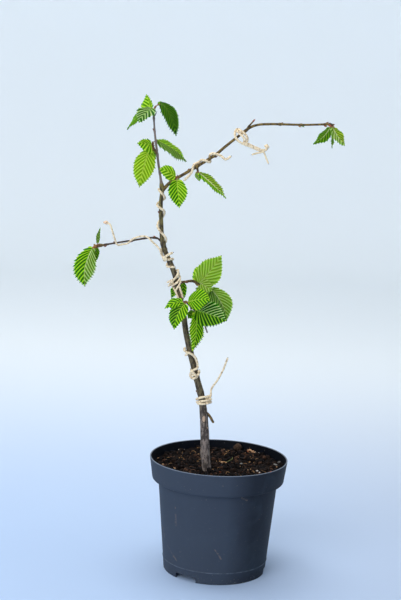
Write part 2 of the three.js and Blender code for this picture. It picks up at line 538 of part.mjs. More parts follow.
const TIES = {
  // Round the upper trunk from the fork down, a short cross end, and the strand from the left bough
  tie_upper: () => joined([
    strand(wound(LIMBS.trunk, [
      [415, -100, 0], [405.5, 90, 0], [398, 270, 0], [390, 450, 0], [376.5, 630, 0], [361, 810, 0],
      [351, 960, 0], [343.5, 1000, 0], [341, 1080, 0.2], [339.5, 1160, 0], [337.5, 1300, 0],
      [335, 1380, 0], [332, 1485, 0],
    ])),
    strand([
      ...wound(LIMBS.trunk, [[340.5, -110, 0], [343, -60, 0.6], [345, 0, 1.6]]),
      ...free([-57.5, -21, 349]),
    ]),
    strand([
      ...free([-129.5, -20.5, 377.8], [-124.6, -20.4, 375.6], [-122, -20, 369], [-119.3, -19.5, 361]),
      ...wound(LIMBS.bough_left, [
        [-116.5, -60, 0], [-112, -95, 0], [-106, -60, 0], [-101, 20, 0], [-95, 75, 0], [-89.5, 70, 0],
        [-85.5, 30, 0],
      ]),
      ...free([-79, -20, 358.5], [-72.5, -20, 352.5]),
      ...wound(LIMBS.trunk, [[345.5, -50, 1.2], [342, -5, 1.2]]),
    ], WIRE.radius * WIRE.thinEnd),
  ]),
  // The criss-cross binding above the middle shoot, with two strands laid down the trunk
  tie_middle: () => joined([
    strand(wound(LIMBS.trunk, [
      [328, 140, 0], [328, 90, 0.3], [322, 0, 0.8], [315, -90, 4.5], [317.5, -180, 3],
    ])),
    strand(wound(LIMBS.trunk, [
      [320, -200, 2], [318.5, -110, 5.5], [321.5, 0, 0.2], [324.5, 90, 0], [325.5, 170, 0],
    ])),
    strand(wound(LIMBS.trunk, [
      [312.5, -160, 1], [314.5, -80, 1], [316.5, 0, 0.4], [321, 90, 0.2], [326.5, 180, 0],
    ])),
    strand(wound(LIMBS.trunk, [[307.5, -70, 0], [311, -10, 0.3], [316, 45, 1], [319.5, 60, 0.6]])),
    strand(wound(LIMBS.trunk, [[313, -75, 0.5], [309, -50, 0], [303, -30, 0], [299.5, -25, 0]])),
    strand(wound(LIMBS.trunk, [[313.5, 20, 0.3], [308, 30, 0], [299.5, 38, 0]])),
  ]),
  // A short knot, one wrap down the right of the lower trunk, and a close knot on its front
  tie_lower: () => joined([
    strand(wound(LIMBS.trunk, [
      [248.5, -125, 0.5], [246.5, -80, 0.8], [244, -30, 0.3], [242, 5, 0], [239.5, 32, 0.2], [236.5, 52, 0.2],
      [232.5, 64, 0], [228.5, 66, 0],
    ])),
    strand(wound(LIMBS.trunk, [
      [228.5, 66, 0], [226, 34, 0.8], [225, -5, 0.8], [222.5, -50, 1], [219, -75, 0.9], [216.8, -45, 0.4],
      [217, -5, 0.4], [220, 35, 0.8], [223.5, 60, 0.4],
    ])),
    strand(wound(LIMBS.trunk, [[226.5, -40, 0.6], [223.5, -20, 1.6], [220, 0, 1.4], [217.5, 20, 0.8]])),
    strand(wound(LIMBS.trunk, [[245.5, -110, 0.6], [246.5, -60, 0.8], [243, -30, 1.4], [241, -70, 1.2]])),
  ]),
  // Three slack turns low on the trunk, with a long thin end that stands up to the right
  tie_foot: () => joined([
    strand(wound(LIMBS.trunk, [
      [195, 100, 4], [196, 0, 0], [194.2, -90, 0], [192.6, -180, 0], [191.6, -270, 4], [192, -360, 0],
      [190.8, -450, 0], [189.8, -540, 0], [189, -630, 3.5], [189, -720, 0], [190, -790, 0],
    ])),
    strand([
      ...wound(LIMBS.trunk, [[191.5, 70, 3], [196, 90, 5]]),
      ...free([-11.5, -20, 204], [-5, -21, 215], [0.5, -22, 227], [4.5, -23, 239.5]),
    ], WIRE.radius * WIRE.thinEnd),
  ]),
  // Turns along the inner right bough and a crinkled free end
  tie_bough_inner: () => strand([
    ...free([-49, -18, 424.5], [-45, -17.5, 428.5]),
    ...wound(LIMBS.bough_right, [
      [-43, 40, 0.6], [-40, -10, 0.3], [-37, -80, 0], [-33, -125, 0], [-30, -80, 0], [-27, 0, 0],
      [-24.5, 90, 0], [-23, 180, 0], [-21, 260, 0], [-18, 330, 0.4],
    ]),
    ...free([-12, -15.5, 451.5], [-6.5, -16.5, 448], [-1, -16, 451.5]),
  ]),
  // A knotted loop where the right bough turns level: two bands round the front, a doubled run and its ends
  tie_bough_outer: () => joined([
    strand(free(
      [3.6, -12.5, 478.2], [6.8, -14.2, 475.2], [10, -14.9, 472.4], [12.2, -14.9, 469.5],
      [12.3, -14.4, 466.6], [17.5, -13.8, 464.1], [24.3, -13.6, 461.3], [29.8, -13.3, 459.4],
    )),
    strand(free(
      [4.6, -8.5, 480.1], [2.6, -11, 477.7], [1.9, -13.2, 474], [3.7, -14.3, 469.6], [8, -14.6, 466],
      [12.9, -14.3, 464], [19.2, -13.6, 461.9], [25, -13.6, 459.7], [30.9, -13.4, 458],
    )),
    strand(free(
      [5, -10.5, 480.2], [9, -12.9, 477.3], [12.8, -13.9, 474.4],
      [15, -13.9, 470.8], [14.6, -13.2, 467.3], [10.8, -13, 465.5],
    )),
    strand(free([30, -13.2, 459.4], [34, -13.2, 459], [36.2, -13, 461.2], [36, -13, 464.8])),
    strand(free([33.5, -13.4, 457.6], [29, -14, 456.4], [25.2, -14.3, 455.4], [20.2, -14.6, 453.7])),
    strand(free([33, -12.2, 457.2], [35.6, -11.7, 450.8], [38.4, -11.5, 445])),
  ]),
};

const MATERIALS = {
  plastic: new THREE.MeshStandardMaterial({ color: '#3d4552', roughness: 0.5, metalness: 0 }),
  peat: new THREE.MeshStandardMaterial({ color: '#261c19', roughness: 1, metalness: 0 }),
  bark: new THREE.MeshStandardMaterial({ color: '#6d6650', roughness: 0.85, metalness: 0 }),
  twig: new THREE.MeshStandardMaterial({ color: '#5c4a30', roughness: 0.8, metalness: 0 }),
  leaf: new THREE.MeshStandardMaterial({ color: '#6ea52c', roughness: 0.5, metalness: 0 }),
  wire: new THREE.MeshStandardMaterial({ color: '#dcc9ae', roughness: 0.9, metalness: 0 }),
};

const hornbeam = new THREE.Group();
hornbeam.add(toMesh('pot', potSolid(), MATERIALS.plastic));
hornbeam.add(toMesh('soil', soilSolid(), MATERIALS.peat));
hornbeam.add(toMesh('trunk', trunkSolid(), MATERIALS.bark));
const spur = new Limb(SPUR_POINTS).solid(STEM);
hornbeam.add(toMesh('bough_right', boughSolid('bough_right', [spur]), MATERIALS.twig));
hornbeam.add(toMesh('bough_left', boughSolid('bough_left'), MATERIALS.twig));
for (const [name, mass] of Object.entries(MASSES)) {
  hornbeam.add(toMesh(name, massSolid(mass), MATERIALS.leaf));
}
for (const [name, solid] of Object.entries(TIES)) {
  hornbeam.add(toMesh(name, solid(), MATERIALS.wire));
}

export default hornbeam;
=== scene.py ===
"""A young european hornbeam in a round nursery pot, dressed over its frame.

Shapes are worked out in millimetres and become metres when a piece is finished. The plant's best
side looks toward -Y, where the camera stands.
"""

from __future__ import annotations

import logging
import math
from bisect import bisect_left, bisect_right
from collections.abc import Callable, Iterable, Iterator
from dataclasses import dataclass, field
from enum import Enum

import bmesh
import bpy
from mathutils import Matrix, Vector, noise


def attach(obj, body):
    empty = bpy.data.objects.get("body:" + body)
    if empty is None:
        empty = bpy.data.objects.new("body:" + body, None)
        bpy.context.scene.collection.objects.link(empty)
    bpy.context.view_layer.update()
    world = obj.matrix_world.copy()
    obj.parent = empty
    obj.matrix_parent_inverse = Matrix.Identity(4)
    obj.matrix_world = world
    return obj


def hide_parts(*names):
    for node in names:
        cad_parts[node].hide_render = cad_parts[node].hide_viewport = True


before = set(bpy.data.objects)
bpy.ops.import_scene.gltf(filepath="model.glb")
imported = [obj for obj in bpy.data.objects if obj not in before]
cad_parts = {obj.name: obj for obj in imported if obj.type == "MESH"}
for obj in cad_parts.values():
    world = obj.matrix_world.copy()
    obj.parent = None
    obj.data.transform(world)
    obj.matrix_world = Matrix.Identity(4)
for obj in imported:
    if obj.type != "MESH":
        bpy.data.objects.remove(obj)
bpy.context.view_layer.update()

LOG = logging.getLogger("hornbeam")
MM = 0.001
BODY = "root"

Point = tuple[float, float, float]
LimbPoint = tuple[float, float, float, float]
Colour = tuple[float, float, float, float]
Socket = bpy.types.NodeSocket


def linear(colour: str) -> Colour:
    """Turn an sRGB hex colour into the linear values that a shader takes.

    Args:
        colour: The colour as "#rrggbb".

    Returns:
        Linear red, green, blue and a full alpha.
    """
    parts = [int(colour[i : i + 2], 16) / 255 for i in (1, 3, 5)]
    bent = [p / 12.92 if p <= 0.04045 else ((p + 0.055) / 1.055) ** 2.4 for p in parts]
    return (*bent, 1.0)


def per_metre(size: float) -> float:
    """The texture scale at which one feature of a pattern is this many millimetres."""
    return 1 / (size * MM)


def smooth(low: float, high: float, value: float) -> float:
    """A soft step from 0 at low to 1 at high."""
    x = min(max((value - low) / (high - low), 0.0), 1.0)
    return x * x * (3 - 2 * x)


def mix(a: float, b: float, f: float) -> float:
    """The number a share f of the way from a to b."""
    return a + (b - a) * f


def halve(short: Callable[[float], bool], halvings: int) -> float:
    """Close in on the place between 0 and 1 from which nothing falls short.

    Args:
        short: Whether a place falls short.
        halvings: How often the gap is halved.

    Returns:
        The place.
    """
    low, high = 0.0, 1.0
    for _ in range(halvings):
        middle = (low + high) / 2
        if short(middle):
            low = middle
        else:
            high = middle
    return high


def seeded(seed: int) -> Iterator[float]:
    """Repeatable numbers between 0 and 1 from a whole-number seed.

    Args:
        seed: Where the row of numbers starts.

    Yields:
        The next number.
    """
    step, turn = 48271, 2147483647
    state = seed
    while True:
        state = state * step % turn
        yield state / turn


# Finishes


class Paint:
    """A material in the making: its nodes, its shader, and the place on the object in metres."""

    def __init__(self, name: str, roughness: float) -> None:
        """Start the material.

        Args:
            name: Its name.
            roughness: Its roughness.
        """
        self.material = bpy.data.materials.new(name)
        self.material.use_nodes = True
        self.tree = self.material.node_tree
        self.shader = next(node for node in self.tree.nodes if node.type == "BSDF_PRINCIPLED")
        self.feed(self.shader, {"Roughness": roughness})
        self.place = self.add_node("TexCoord", {}, "Object")

    def feed(self, node: bpy.types.Node, inputs: dict[str | int, object]) -> None:
        """Give a node's inputs their plain values and links.

        Args:
            node: The node.
            inputs: Input names or numbers, each with a plain value or another node's output.
        """
        for name, value in inputs.items():
            if isinstance(value, bpy.types.NodeSocket):
                self.tree.links.new(value, node.inputs[name])
            else:
                node.inputs[name].default_value = value

    def add_node(
        self, kind: str, inputs: dict[str | int, object], output: str | int = 0, **settings: object
    ) -> Socket:
        """Add one node with its settings, its plain values and its links.

        Args:
            kind: The node's type name, without its family.
            inputs: What its inputs take, by name or number.
            output: The name or number of the output that is used.
            settings: The node's own choices.

        Returns:
            The output.
        """
        node = self.tree.nodes.new(f"ShaderNode{kind}")
        for name, value in settings.items():
            setattr(node, name, value)
        self.feed(node, inputs)
        return node.outputs[output]

    def coats(self, under: Colour, coats: Iterable[tuple[Socket, float, float, float, Colour]]) -> Socket:
        """Lay coats of colour over one another.

        Args:
            under: The lowest colour.
            coats: Each coat's pattern, the values at which it starts and is full, its most share, its colour.

        Returns:
            The colour on top.
        """
        for pattern, start, full, most, over in coats:
            share = self.add_node("MapRange", {
                "Value": pattern, "From Min": start, "From Max": full, "To Max": most,
            })
            under = self.add_node("Mix", {0: share, 6: under, 7: over}, 2, data_type="RGBA")
        return under


@dataclass(frozen=True)
class Mark:
    """One scratch, scuff or speck of dust on the pot, from one end to the other."""

    start: Point
    end: Point
    half_width: float
    share: float


@dataclass(frozen=True)
class MouldedPolypropylene:
    """Recycled black polypropylene, injection moulded: slate, half matt, scuffed and a little dusty, with
    painted light on its left and its lip, and painted shade inside the rim.
    """

    name: str = "moulded_polypropylene"
    base: str = "#2a2f37"
    worn: str = "#353d46"
    # Painted light: a lighter slate on the left of the pot
    lit_side: str = "#424a56"
    # A pale grey: rubbed on the foot ridge, and a painted highlight along the lip
    edge: str = "#7d8692"
    # Painted shade inside the rim
    rim_shade: str = "#07090f"
    dust: str = "#8f867a"
    scratch: str = "#8a7868"
    roughness: float = 0.5
    wipe_size: float = 34.0
    grain_size: float = 0.9
    speck_size: float = 1.6
    break_size: float = 5.0
    dusty_height: float = 12.0
    lip_height: float = 124.3
    ridge_height: float = 13.3
    ridge_reach: float = 0.75
    # Painted light makes the left of the pot lighter, and fades out between these places along X
    lit_side_start: float = 10.0
    lit_side_end: float = 38.0
    # Painted shade darkens the inside of the rim: how far in it starts, and from what height
    band_slope: float = 3.4 / 24.0
    inner_start: float = 56.6
    inner_height: float = 101.6
    marks: tuple[Mark, ...] = (
        Mark((-51.5, -28.2, 32.7), (-45.2, -36.4, 24.6), 0.6, 0.4),
        Mark((-45.2, -36.4, 24.6), (-41.4, -40.1, 20.5), 1.5, 0.5),
        Mark((-43.7, -44.4, 71.8), (-43.3, -43.4, 60.4), 2.2, 0.22),
        Mark((-57.4, -18.1, 48.5), (-55.4, -21.7, 40.3), 2.8, 0.25),
        Mark((-0.9, -59.5, 40.2), (2.5, -59.0, 35.8), 0.9, 0.4),
        Mark((2.5, -59.0, 35.8), (5.9, -58.2, 30.2), 1.3, 0.4),
        Mark((25.0, -59.7, 98.1), (30.5, -56.8, 94.7), 1.3, 0.4),
        Mark((-44.7, -44.5, 80.4), (-44.5, -44.5, 79.4), 0.9, 0.6),
        Mark((4.2, -73.3, 114.6), (4.4, -73.3, 114.0), 0.5, 0.7),
        Mark((5.7, -63.1, 83.4), (6.0, -63.1, 83.0), 0.5, 0.6),
        Mark((44.8, -43.1, 70.5), (45.2, -42.8, 70.0), 0.5, 0.5),
        Mark((-40.4, -62.0, 124.6), (-37.0, -64.2, 124.8), 0.7, 0.9),
    )

    def material(self) -> bpy.types.Material:
        """Build the finish.

        Returns:
            The material.
        """
        paint = Paint(self.name, self.roughness)
        parts = paint.add_node("SeparateXYZ", {0: paint.place}).node.outputs
        aside, height = parts["X"], parts["Z"]
        wipes = paint.add_node("TexNoise", {
            "Vector": paint.place, "Scale": per_metre(self.wipe_size), "Detail": 4.0, "Roughness": 0.65,
            "Distortion": 0.6,
        })
        patches, specks, grain = (
            paint.add_node("TexNoise", {"Vector": paint.place, "Scale": per_metre(size), "Detail": detail})
            for size, detail in ((self.break_size, 3.0), (self.speck_size, 2.0), (self.grain_size, 3.0))
        )
        off_ridge = paint.add_node("Math", {0: height, 1: self.ridge_height * MM}, operation="SUBTRACT")
        away = paint.add_node("Math", {0: off_ridge}, operation="ABSOLUTE")
        reach = self.ridge_reach * MM
        broken, on_ridge, low, skipped = (
            paint.add_node("MapRange", {"Value": value, "From Min": start, "From Max": full, "To Max": most})
            for value, start, full, most in (
                (patches, 0.3, 0.7, 0.5), (away, reach, 0.3 * reach, 1.0),
                (height, self.dusty_height * MM, 0.0, 0.12), (specks, 0.42, 0.56, 1.0),
            )
        )
        ridge = paint.add_node("Math", {0: on_ridge, 1: broken}, operation="MULTIPLY")
        dusty = paint.add_node("Math", {0: specks, 1: low}, operation="ADD")
        scratches = [
            paint.add_node("Math", {0: self.mark(paint, mark), 1: skipped}, operation="MULTIPLY")
            for mark in self.marks
        ]
        colour = paint.coats(linear(self.base), (
            (wipes, 0.42, 0.72, 1.0, linear(self.worn)),
            # Painted light on the left of the pot
            (aside, self.lit_side_end * MM, self.lit_side_start * MM, 0.8, linear(self.lit_side)),
            # Painted shade inside the rim
            (self.inner_shade(paint, height), 0.0, 1.0, 1.0, linear(self.rim_shade)),
            # Painted highlight along the rim's top edge
            (height, self.lip_height * MM, (self.lip_height + 0.5) * MM, 0.8, linear(self.edge)),
            (ridge, 0.0, 1.0, 1.0, linear(self.edge)),
            (dusty, 0.7, 0.82, 0.55, linear(self.dust)),
            *((share, 0.0, 1.0, 1.0, linear(self.scratch)) for share in scratches),
        ))
        gloss = paint.add_node("MapRange", {
            "Value": wipes, "From Min": 0.3, "From Max": 0.7,
            "To Min": self.roughness - 0.07, "To Max": self.roughness + 0.1,
        })
        bump = paint.add_node("Bump", {"Strength": 0.25, "Distance": 0.12 * MM, "Height": grain})
        paint.feed(paint.shader, {
            "Base Color": colour, "Roughness": gloss, "Specular IOR Level": 0.04, "Normal": bump,
        })
        return paint.material

    def inner_shade(self, paint: Paint, height: Socket) -> Socket:
        """Find the inside of the rim, which follows the band's slope, where shade is painted.

        Args:
            paint: The material in the making.
            height: The height of each place.

        Returns:
            The share of painted shade at each place.
        """
        flat = paint.add_node("VectorMath", {0: paint.place, 1: (1.0, 1.0, 0.0)}, operation="MULTIPLY")
        radius = paint.add_node("VectorMath", {0: flat}, "Value", operation="LENGTH")
        rise = paint.add_node("Math", {0: height, 1: self.band_slope}, operation="MULTIPLY")
        inward = paint.add_node("Math", {0: radius, 1: rise}, operation="SUBTRACT")
        inside = paint.add_node("MapRange", {
            "Value": inward, "From Min": self.inner_start * MM, "From Max": (self.inner_start - 0.3) * MM,
            "To Max": 0.95,
        })
        above = paint.add_node("MapRange", {
            "Value": height, "From Min": self.inner_height * MM, "From Max": (self.inner_height + 0.4) * MM,
        })
        return paint.add_node("Math", {0: inside, 1: above}, operation="MULTIPLY")

    def mark(self, paint: Paint, mark: Mark) -> Socket:
        """Find how near each place is to a mark's line.

        Args:
            paint: The material in the making.
            mark: The mark.

        Returns:
            The share of its colour at each place.
        """
        first = Vector(mark.start) * MM
        along = Vector(mark.end) * MM - first
        reach = mark.half_width * MM
        away = paint.add_node("VectorMath", {0: paint.place, 1: first}, operation="SUBTRACT")
        share = paint.add_node(
            "VectorMath", {0: away, 1: along / along.length_squared}, "Value", operation="DOT_PRODUCT"
        )
        held = paint.add_node("Clamp", {0: share})
        foot = paint.add_node("VectorMath", {0: along, "Scale": held}, operation="SCALE")
        gap = paint.add_node("VectorMath", {0: away, 1: foot}, "Value", operation="DISTANCE")
        return paint.add_node("MapRange", {
            "Value": gap, "From Min": reach, "From Max": 0.2 * reach, "To Max": mark.share,
        })


@dataclass(frozen=True)
class MoistPeat:
    """Moist sphagnum peat, milled and screened: crumbly, matt, dark brown with rusty flecks."""

    name: str
    dark: str = "#080606"
    light: str = "#241a15"
    lump_size: float = 2.6

    def material(self) -> bpy.types.Material:
        """Build the finish.

        Returns:
            The material.
        """
        paint = Paint(self.name, roughness=0.95)
        lumps = paint.add_node("TexNoise", {
            "Vector": paint.place, "Scale": per_metre(self.lump_size), "Detail": 5.0, "Roughness": 0.7,
        })
        colour = paint.coats(linear(self.dark), ((lumps, 0.38, 0.68, 1.0, linear(self.light)),))
        bump = paint.add_node("Bump", {"Strength": 0.8, "Distance": 0.5 * MM, "Height": lumps})
        paint.feed(paint.shader, {"Base Color": colour, "Specular IOR Level": 0.15, "Normal": bump})
        return paint.material


@dataclass(frozen=True)
class YoungBark:
    """Living hornbeam bark, thin and smooth: grey-brown at the foot, olive higher, with dark streaks."""

    name: str
    foot: str = "#85776d"
    middle: str = "#66593b"
    upper: str = "#796c36"
    streak: str = "#21160f"
    foot_height: float = 160.0
    middle_height: float = 200.0
    high_height: float = 335.0
    upper_height: float = 385.0
    streak_width: float = 2.2
    streak_length: float = 7.0
    contrast: float = 0.85

    def material(self) -> bpy.types.Material:
        """Build the finish.

        Returns:
            The material.
        """
        paint = Paint(self.name, 0.72)
        height = paint.add_node("SeparateXYZ", {0: paint.place}, "Z")
        stretched = paint.add_node("Mapping", {
            "Vector": paint.place, "Scale": (1.0, 1.0, self.streak_width / self.streak_length),
        })
        streaks = paint.add_node("TexNoise", {
            "Vector": stretched, "Scale": per_metre(self.streak_width), "Detail": 4.0, "Roughness": 0.7,
        })
        colour = paint.coats(linear(self.foot), (
            (height, self.foot_height * MM, self.middle_height * MM, 1.0, linear(self.middle)),
            (height, self.high_height * MM, self.upper_height * MM, 1.0, linear(self.upper)),
            (streaks, 0.545, 0.465, self.contrast, linear(self.streak)),
        ))
        bump = paint.add_node("Bump", {"Strength": 0.6, "Distance": 0.25 * MM, "Height": streaks})
        paint.feed(paint.shader, {"Base Color": colour, "Normal": bump})
        return paint.material


@dataclass(frozen=True)
class LeafSkin:
    """One tone of a young hornbeam leaf: thin, fresh and faintly waxy, so its pleats catch the light."""

    name: str
    colour: str
    roughness: float = 0.42
    cell_size: float = 0.7

    def material(self) -> bpy.types.Material:
        """Build the finish.

        Returns:
            The material.
        """
        paint = Paint(self.name, self.roughness)
        cells = paint.add_node("TexNoise", {
            "Vector": paint.place, "Scale": per_metre(self.cell_size), "Detail": 2.0,
        })
        bump = paint.add_node("Bump", {"Strength": 0.35, "Distance": 0.08 * MM, "Height": cells})
        paint.feed(paint.shader, {
            "Base Color": linear(self.colour), "Specular IOR Level": 0.08, "Subsurface Weight": 0.5,
            "Subsurface Radius": (0.5, 1.0, 0.15), "Subsurface Scale": 0.8 * MM, "Normal": bump,
        })
        return paint.material


@dataclass(frozen=True)
class PlainSkin:
    """A small plant or peat part of one colour, such as a bud scale, a leaf stalk or a fibre."""

    name: str
    colour: str
    roughness: float = 0.6
    fleck_size: float = 0.8
    fleck: float = 0.25

    def material(self) -> bpy.types.Material:
        """Build the finish.

        Returns:
            The material.
        """
        paint = Paint(self.name, self.roughness)
        flecks = paint.add_node("TexNoise", {
            "Vector": paint.place, "Scale": per_metre(self.fleck_size), "Detail": 2.0,
        })
        *base, _ = linear(self.colour)
        dark = (*[c * (1 - self.fleck) ** 2 for c in base], 1.0)
        light = (*[min(1.0, c * (1 + self.fleck)) for c in base], 1.0)
        paint.feed(paint.shader, {"Base Color": paint.coats(dark, ((flecks, 0.0, 1.0, 1.0, light),))})
        return paint.material


@dataclass(frozen=True)
class CrepePaper:
    """Cream kraft paper, crimped and wound round a soft wire: matt, fibrous and a little soiled."""

    name: str = "crepe_paper"
    base: str = "#f8e2ba"
    soiled: str = "#8a6a4c"
    stain_size: float = 2.0
    fibre_size: float = 0.35

    def material(self) -> bpy.types.Material:
        """Build the finish.

        Returns:
            The material.
        """
        paint = Paint(self.name, 0.9)
        stains = paint.add_node("TexNoise", {
            "Vector": paint.place, "Scale": per_metre(self.stain_size), "Detail": 3.0, "Roughness": 0.6,
        })
        fibres = paint.add_node("TexNoise", {
            "Vector": paint.place, "Scale": per_metre(self.fibre_size), "Detail": 2.0,
        })
        colour = paint.coats(linear(self.base), ((stains, 0.48, 0.66, 0.75, linear(self.soiled)),))
        bump = paint.add_node("Bump", {"Strength": 0.5, "Distance": 0.1 * MM, "Height": fibres})
        paint.feed(paint.shader, {"Base Color": colour, "Normal": bump})
        return paint.material


Finish = MouldedPolypropylene | MoistPeat | YoungBark | LeafSkin | PlainSkin | CrepePaper
MADE: dict[str, bpy.types.Material] = {}


def dressed(finish: Finish) -> bpy.types.Material:
    """The material of a finish, built once."""
    if finish.name not in MADE:
        MADE[finish.name] = finish.material()
    return MADE[finish.name]


POT_PLASTIC = MouldedPolypropylene()
PEAT_BED = MoistPeat("peat_bed")
PEAT_CRUMBS = (
    MoistPeat("peat_dark", "#080607", "#191311", 1.2),
    MoistPeat("peat_brown", "#140e0c", "#33251e", 1.2),
    MoistPeat("peat_rusty", "#271a14", "#644634", 1.2),
)
CLOD_SKIN = MoistPeat("peat_clod", "#2b2019", "#5c4636", 2.0)
CHIP = PlainSkin("peat_chip", "#c79a70", 0.8)
CHIP_RED = PlainSkin("peat_chip_red", "#9a4a28", 0.8)
STONE = PlainSkin("peat_stone", "#77756f", 0.8)
FIBRE_STRAW = PlainSkin("peat_fibre_straw", "#b98a56", 0.7)
FIBRE_BROWN = PlainSkin("peat_fibre_brown", "#6b452a", 0.8)
FIBRE_GREEN = PlainSkin("peat_fibre_green", "#6f7338", 0.7)
GRIT = PlainSkin("peat_grit", "#cfc8bd", 0.7)
TRUNK_BARK = YoungBark("bark_trunk")
TWIG_BARK = YoungBark(
    "bark_twig", "#7a5e2c", "#7a5e2c", "#80662a", "#26170c", streak_width=1.9, streak_length=3.2, contrast=0.9
)
DARK_TWIG_BARK = YoungBark(
    "bark_twig_dark", "#482f18", "#482f18", "#482f18", "#20130c", streak_width=1.9, streak_length=3.2
)
LEADER_BARK = PlainSkin("bark_leader", "#85756a", 0.7, 1.4, 0.3)
CUT_WOOD = PlainSkin("cut_wood", "#8a7a4c", 0.8)
SCAR = PlainSkin("bark_scar", "#c2a487", 0.8)
SCAR_LIP = PlainSkin("bark_scar_lip", "#3a2a20", 0.8)
STALK = PlainSkin("leaf_stalk", "#a0785a", 0.5)
BUD_BROWN = PlainSkin("bud_brown", "#7d4a2a", 0.5)
BUD_RED = PlainSkin("bud_red", "#a4542f", 0.5)
BRACT = PlainSkin("bract", "#b98a4a", 0.6)
BRACT_GREEN = PlainSkin("bract_green", "#7f9b45", 0.6)
PAPER = CrepePaper()
PAPER_PEACH = CrepePaper("crepe_paper_peach", "#f2cfa8", "#d9a47c")
WIRE_CORE = PlainSkin("wire_core", "#3a3632", 0.4)


class Tone(Enum):
    """The leaf tones that the plant shows: blade, pleat crest with a painted highlight, valley with painted
    shade, and midrib, above and then below.
    """

    LIME = ("#88ae08", "#b2ce3c", "#70960c", "#a8c03e"), ("#8cac2b", "#a6be48", "#688e14", "#b8bc78")
    FRESH = ("#6ea800", "#bcdc3c", "#508a00", "#acce36"), ("#7ea026", "#9cb846", "#5a841a", "#acb86c")
    GRASS = ("#448400", "#a2ce1e", "#2c6600", "#98bc3a"), ("#6c9622", "#8cae3e", "#4c7e16", "#a6b272")
    DEEP = ("#286000", "#80b01c", "#163e00", "#80a82c"), ("#5c8420", "#7a9c3a", "#427010", "#98a866")
    SHADE = ("#164800", "#5c8c10", "#0c3000", "#5c8020"), ("#5c8420", "#7a9c3a", "#427010", "#98a866")
    DULL = ("#547a20", "#8aa84c", "#426818", "#94ae5e"), ("#6c8838", "#8ca252", "#547028", "#a2ac74")
    PALE = ("#74962a", "#b0c872", "#567c20", "#c4c890"), ("#86a82c", "#b4d060", "#66901a", "#c8bc90")
    SOFT = ("#7ea22a", "#acc85e", "#6c9024", "#b4bc78"), ("#90b430", "#b2d056", "#7ca020", "#aebc58")
    OLIVE = ("#76960c", "#b4c848", "#4c6c04", "#d4d8a8"), ("#7c922a", "#a0ac50", "#567218", "#cccaa6")
    RIBBED = ("#366400", "#6a9408", "#204c00", "#98a868"), ("#628a22", "#76963a", "#467014", "#98a870")
    # Dark green, with a pale painted highlight on the pleat crests
    HIGHLIT = ("#286400", "#a6be74", "#184a00", "#7ea04a"), ("#5c8420", "#7a9c3a", "#427010", "#98a866")

    def __init__(self, above: tuple[str, ...], below: tuple[str, ...]) -> None:
        """Make the tone's skins.

        Args:
            above: The upper side's colours.
            below: The underside's colours.
        """
        # The pleat crests wear a painted highlight and the valleys between them painted shade
        parts = ("blade", "lit_crest", "shaded_crease", "midrib")
        label = self.name.lower()
        self.above = [LeafSkin(f"leaf_{label}_{part}", colour) for part, colour in zip(parts, above)]
        self.below = [
            LeafSkin(f"leaf_{label}_under_{part}", colour, 0.6) for part, colour in zip(parts, below)
        ]


# Curves, tubes and pieces


class Curve:
    """A smooth centripetal curve through points, the same one that the frame's limbs follow."""

    STEPS = 12

    def __init__(self, points: list[Vector]) -> None:
        """Work out the curve's cubics and its length.

        Args:
            points: What the curve passes through.
        """
        ends = [points[0] * 2 - points[1], *points, points[-1] * 2 - points[-2]]
        self.cubics = [self._cubic(*ends[i : i + 4]) for i in range(len(points) - 1)]
        count = self.STEPS * len(self.cubics)
        places = [self.point(i / count) for i in range(count + 1)]
        self.reached = [0.0]
        for a, b in zip(places, places[1:]):
            self.reached.append(self.reached[-1] + (b - a).length)
        self.length = self.reached[-1]

    @staticmethod
    def _cubic(p0: Vector, p1: Vector, p2: Vector, p3: Vector) -> tuple[Vector, Vector, Vector, Vector]:
        """The cubic between the two middle points.

        Args:
            p0: The point before.
            p1: The first middle point.
            p2: The second middle point.
            p3: The point after.

        Returns:
            The cubic's four coefficients.
        """
        d0, d1, d2 = ((b - a).length ** 0.5 for a, b in ((p0, p1), (p1, p2), (p2, p3)))
        leave = ((p1 - p0) / d0 - (p2 - p0) / (d0 + d1) + (p2 - p1) / d1) * d1
        arrive = ((p2 - p1) / d1 - (p3 - p1) / (d1 + d2) + (p3 - p2) / d2) * d1
        return p1, leave, -3 * p1 + 3 * p2 - 2 * leave - arrive, 2 * p1 - 2 * p2 + leave + arrive

    def _segment(self, t: float) -> tuple[tuple[Vector, Vector, Vector, Vector], float]:
        """The cubic at t, and the place within it."""
        place = t * len(self.cubics)
        index = min(max(int(place), 0), len(self.cubics) - 1)
        return self.cubics[index], place - index

    def point(self, t: float) -> Vector:
        """The place at t, which runs from 0 to 1."""
        (a, b, c, d), w = self._segment(t)
        return a + (b + (c + d * w) * w) * w

    def tangent(self, t: float) -> Vector:
        """The direction at t."""
        (_, b, c, d), w = self._segment(t)
        return (b + (2 * c + 3 * d * w) * w).normalized()

    def at_length(self, distance: float) -> float:
        """The t that lies this far along the curve.

        Args:
            distance: The length from the start.

        Returns:
            The value of t.
        """
        count = len(self.reached) - 1
        high = bisect_left(self.reached, distance, 1, count)
        low = high - 1
        gap = self.reached[high] - self.reached[low]
        return (low + (distance - self.reached[low]) / max(gap, 1e-9)) / count

    def frames(self, rings: int) -> list[tuple[float, Vector, Vector, Vector]]:
        """Even stations along the curve, with cross directions that never twist.

        Args:
            rings: How many gaps there are between the stations.

        Returns:
            Each station's t, centre and two cross directions.
        """
        result = []
        normal = None
        for i in range(rings + 1):
            t = self.at_length(self.length * i / rings)
            along = self.tangent(t)
            if normal is None:
                normal = Vector((0, -1, 0)) if abs(along.y) < 0.9 else Vector((0, 0, 1))
            normal = (normal - along * normal.dot(along)).normalized()
            result.append((t, self.point(t), normal.copy(), along.cross(normal)))
        return result


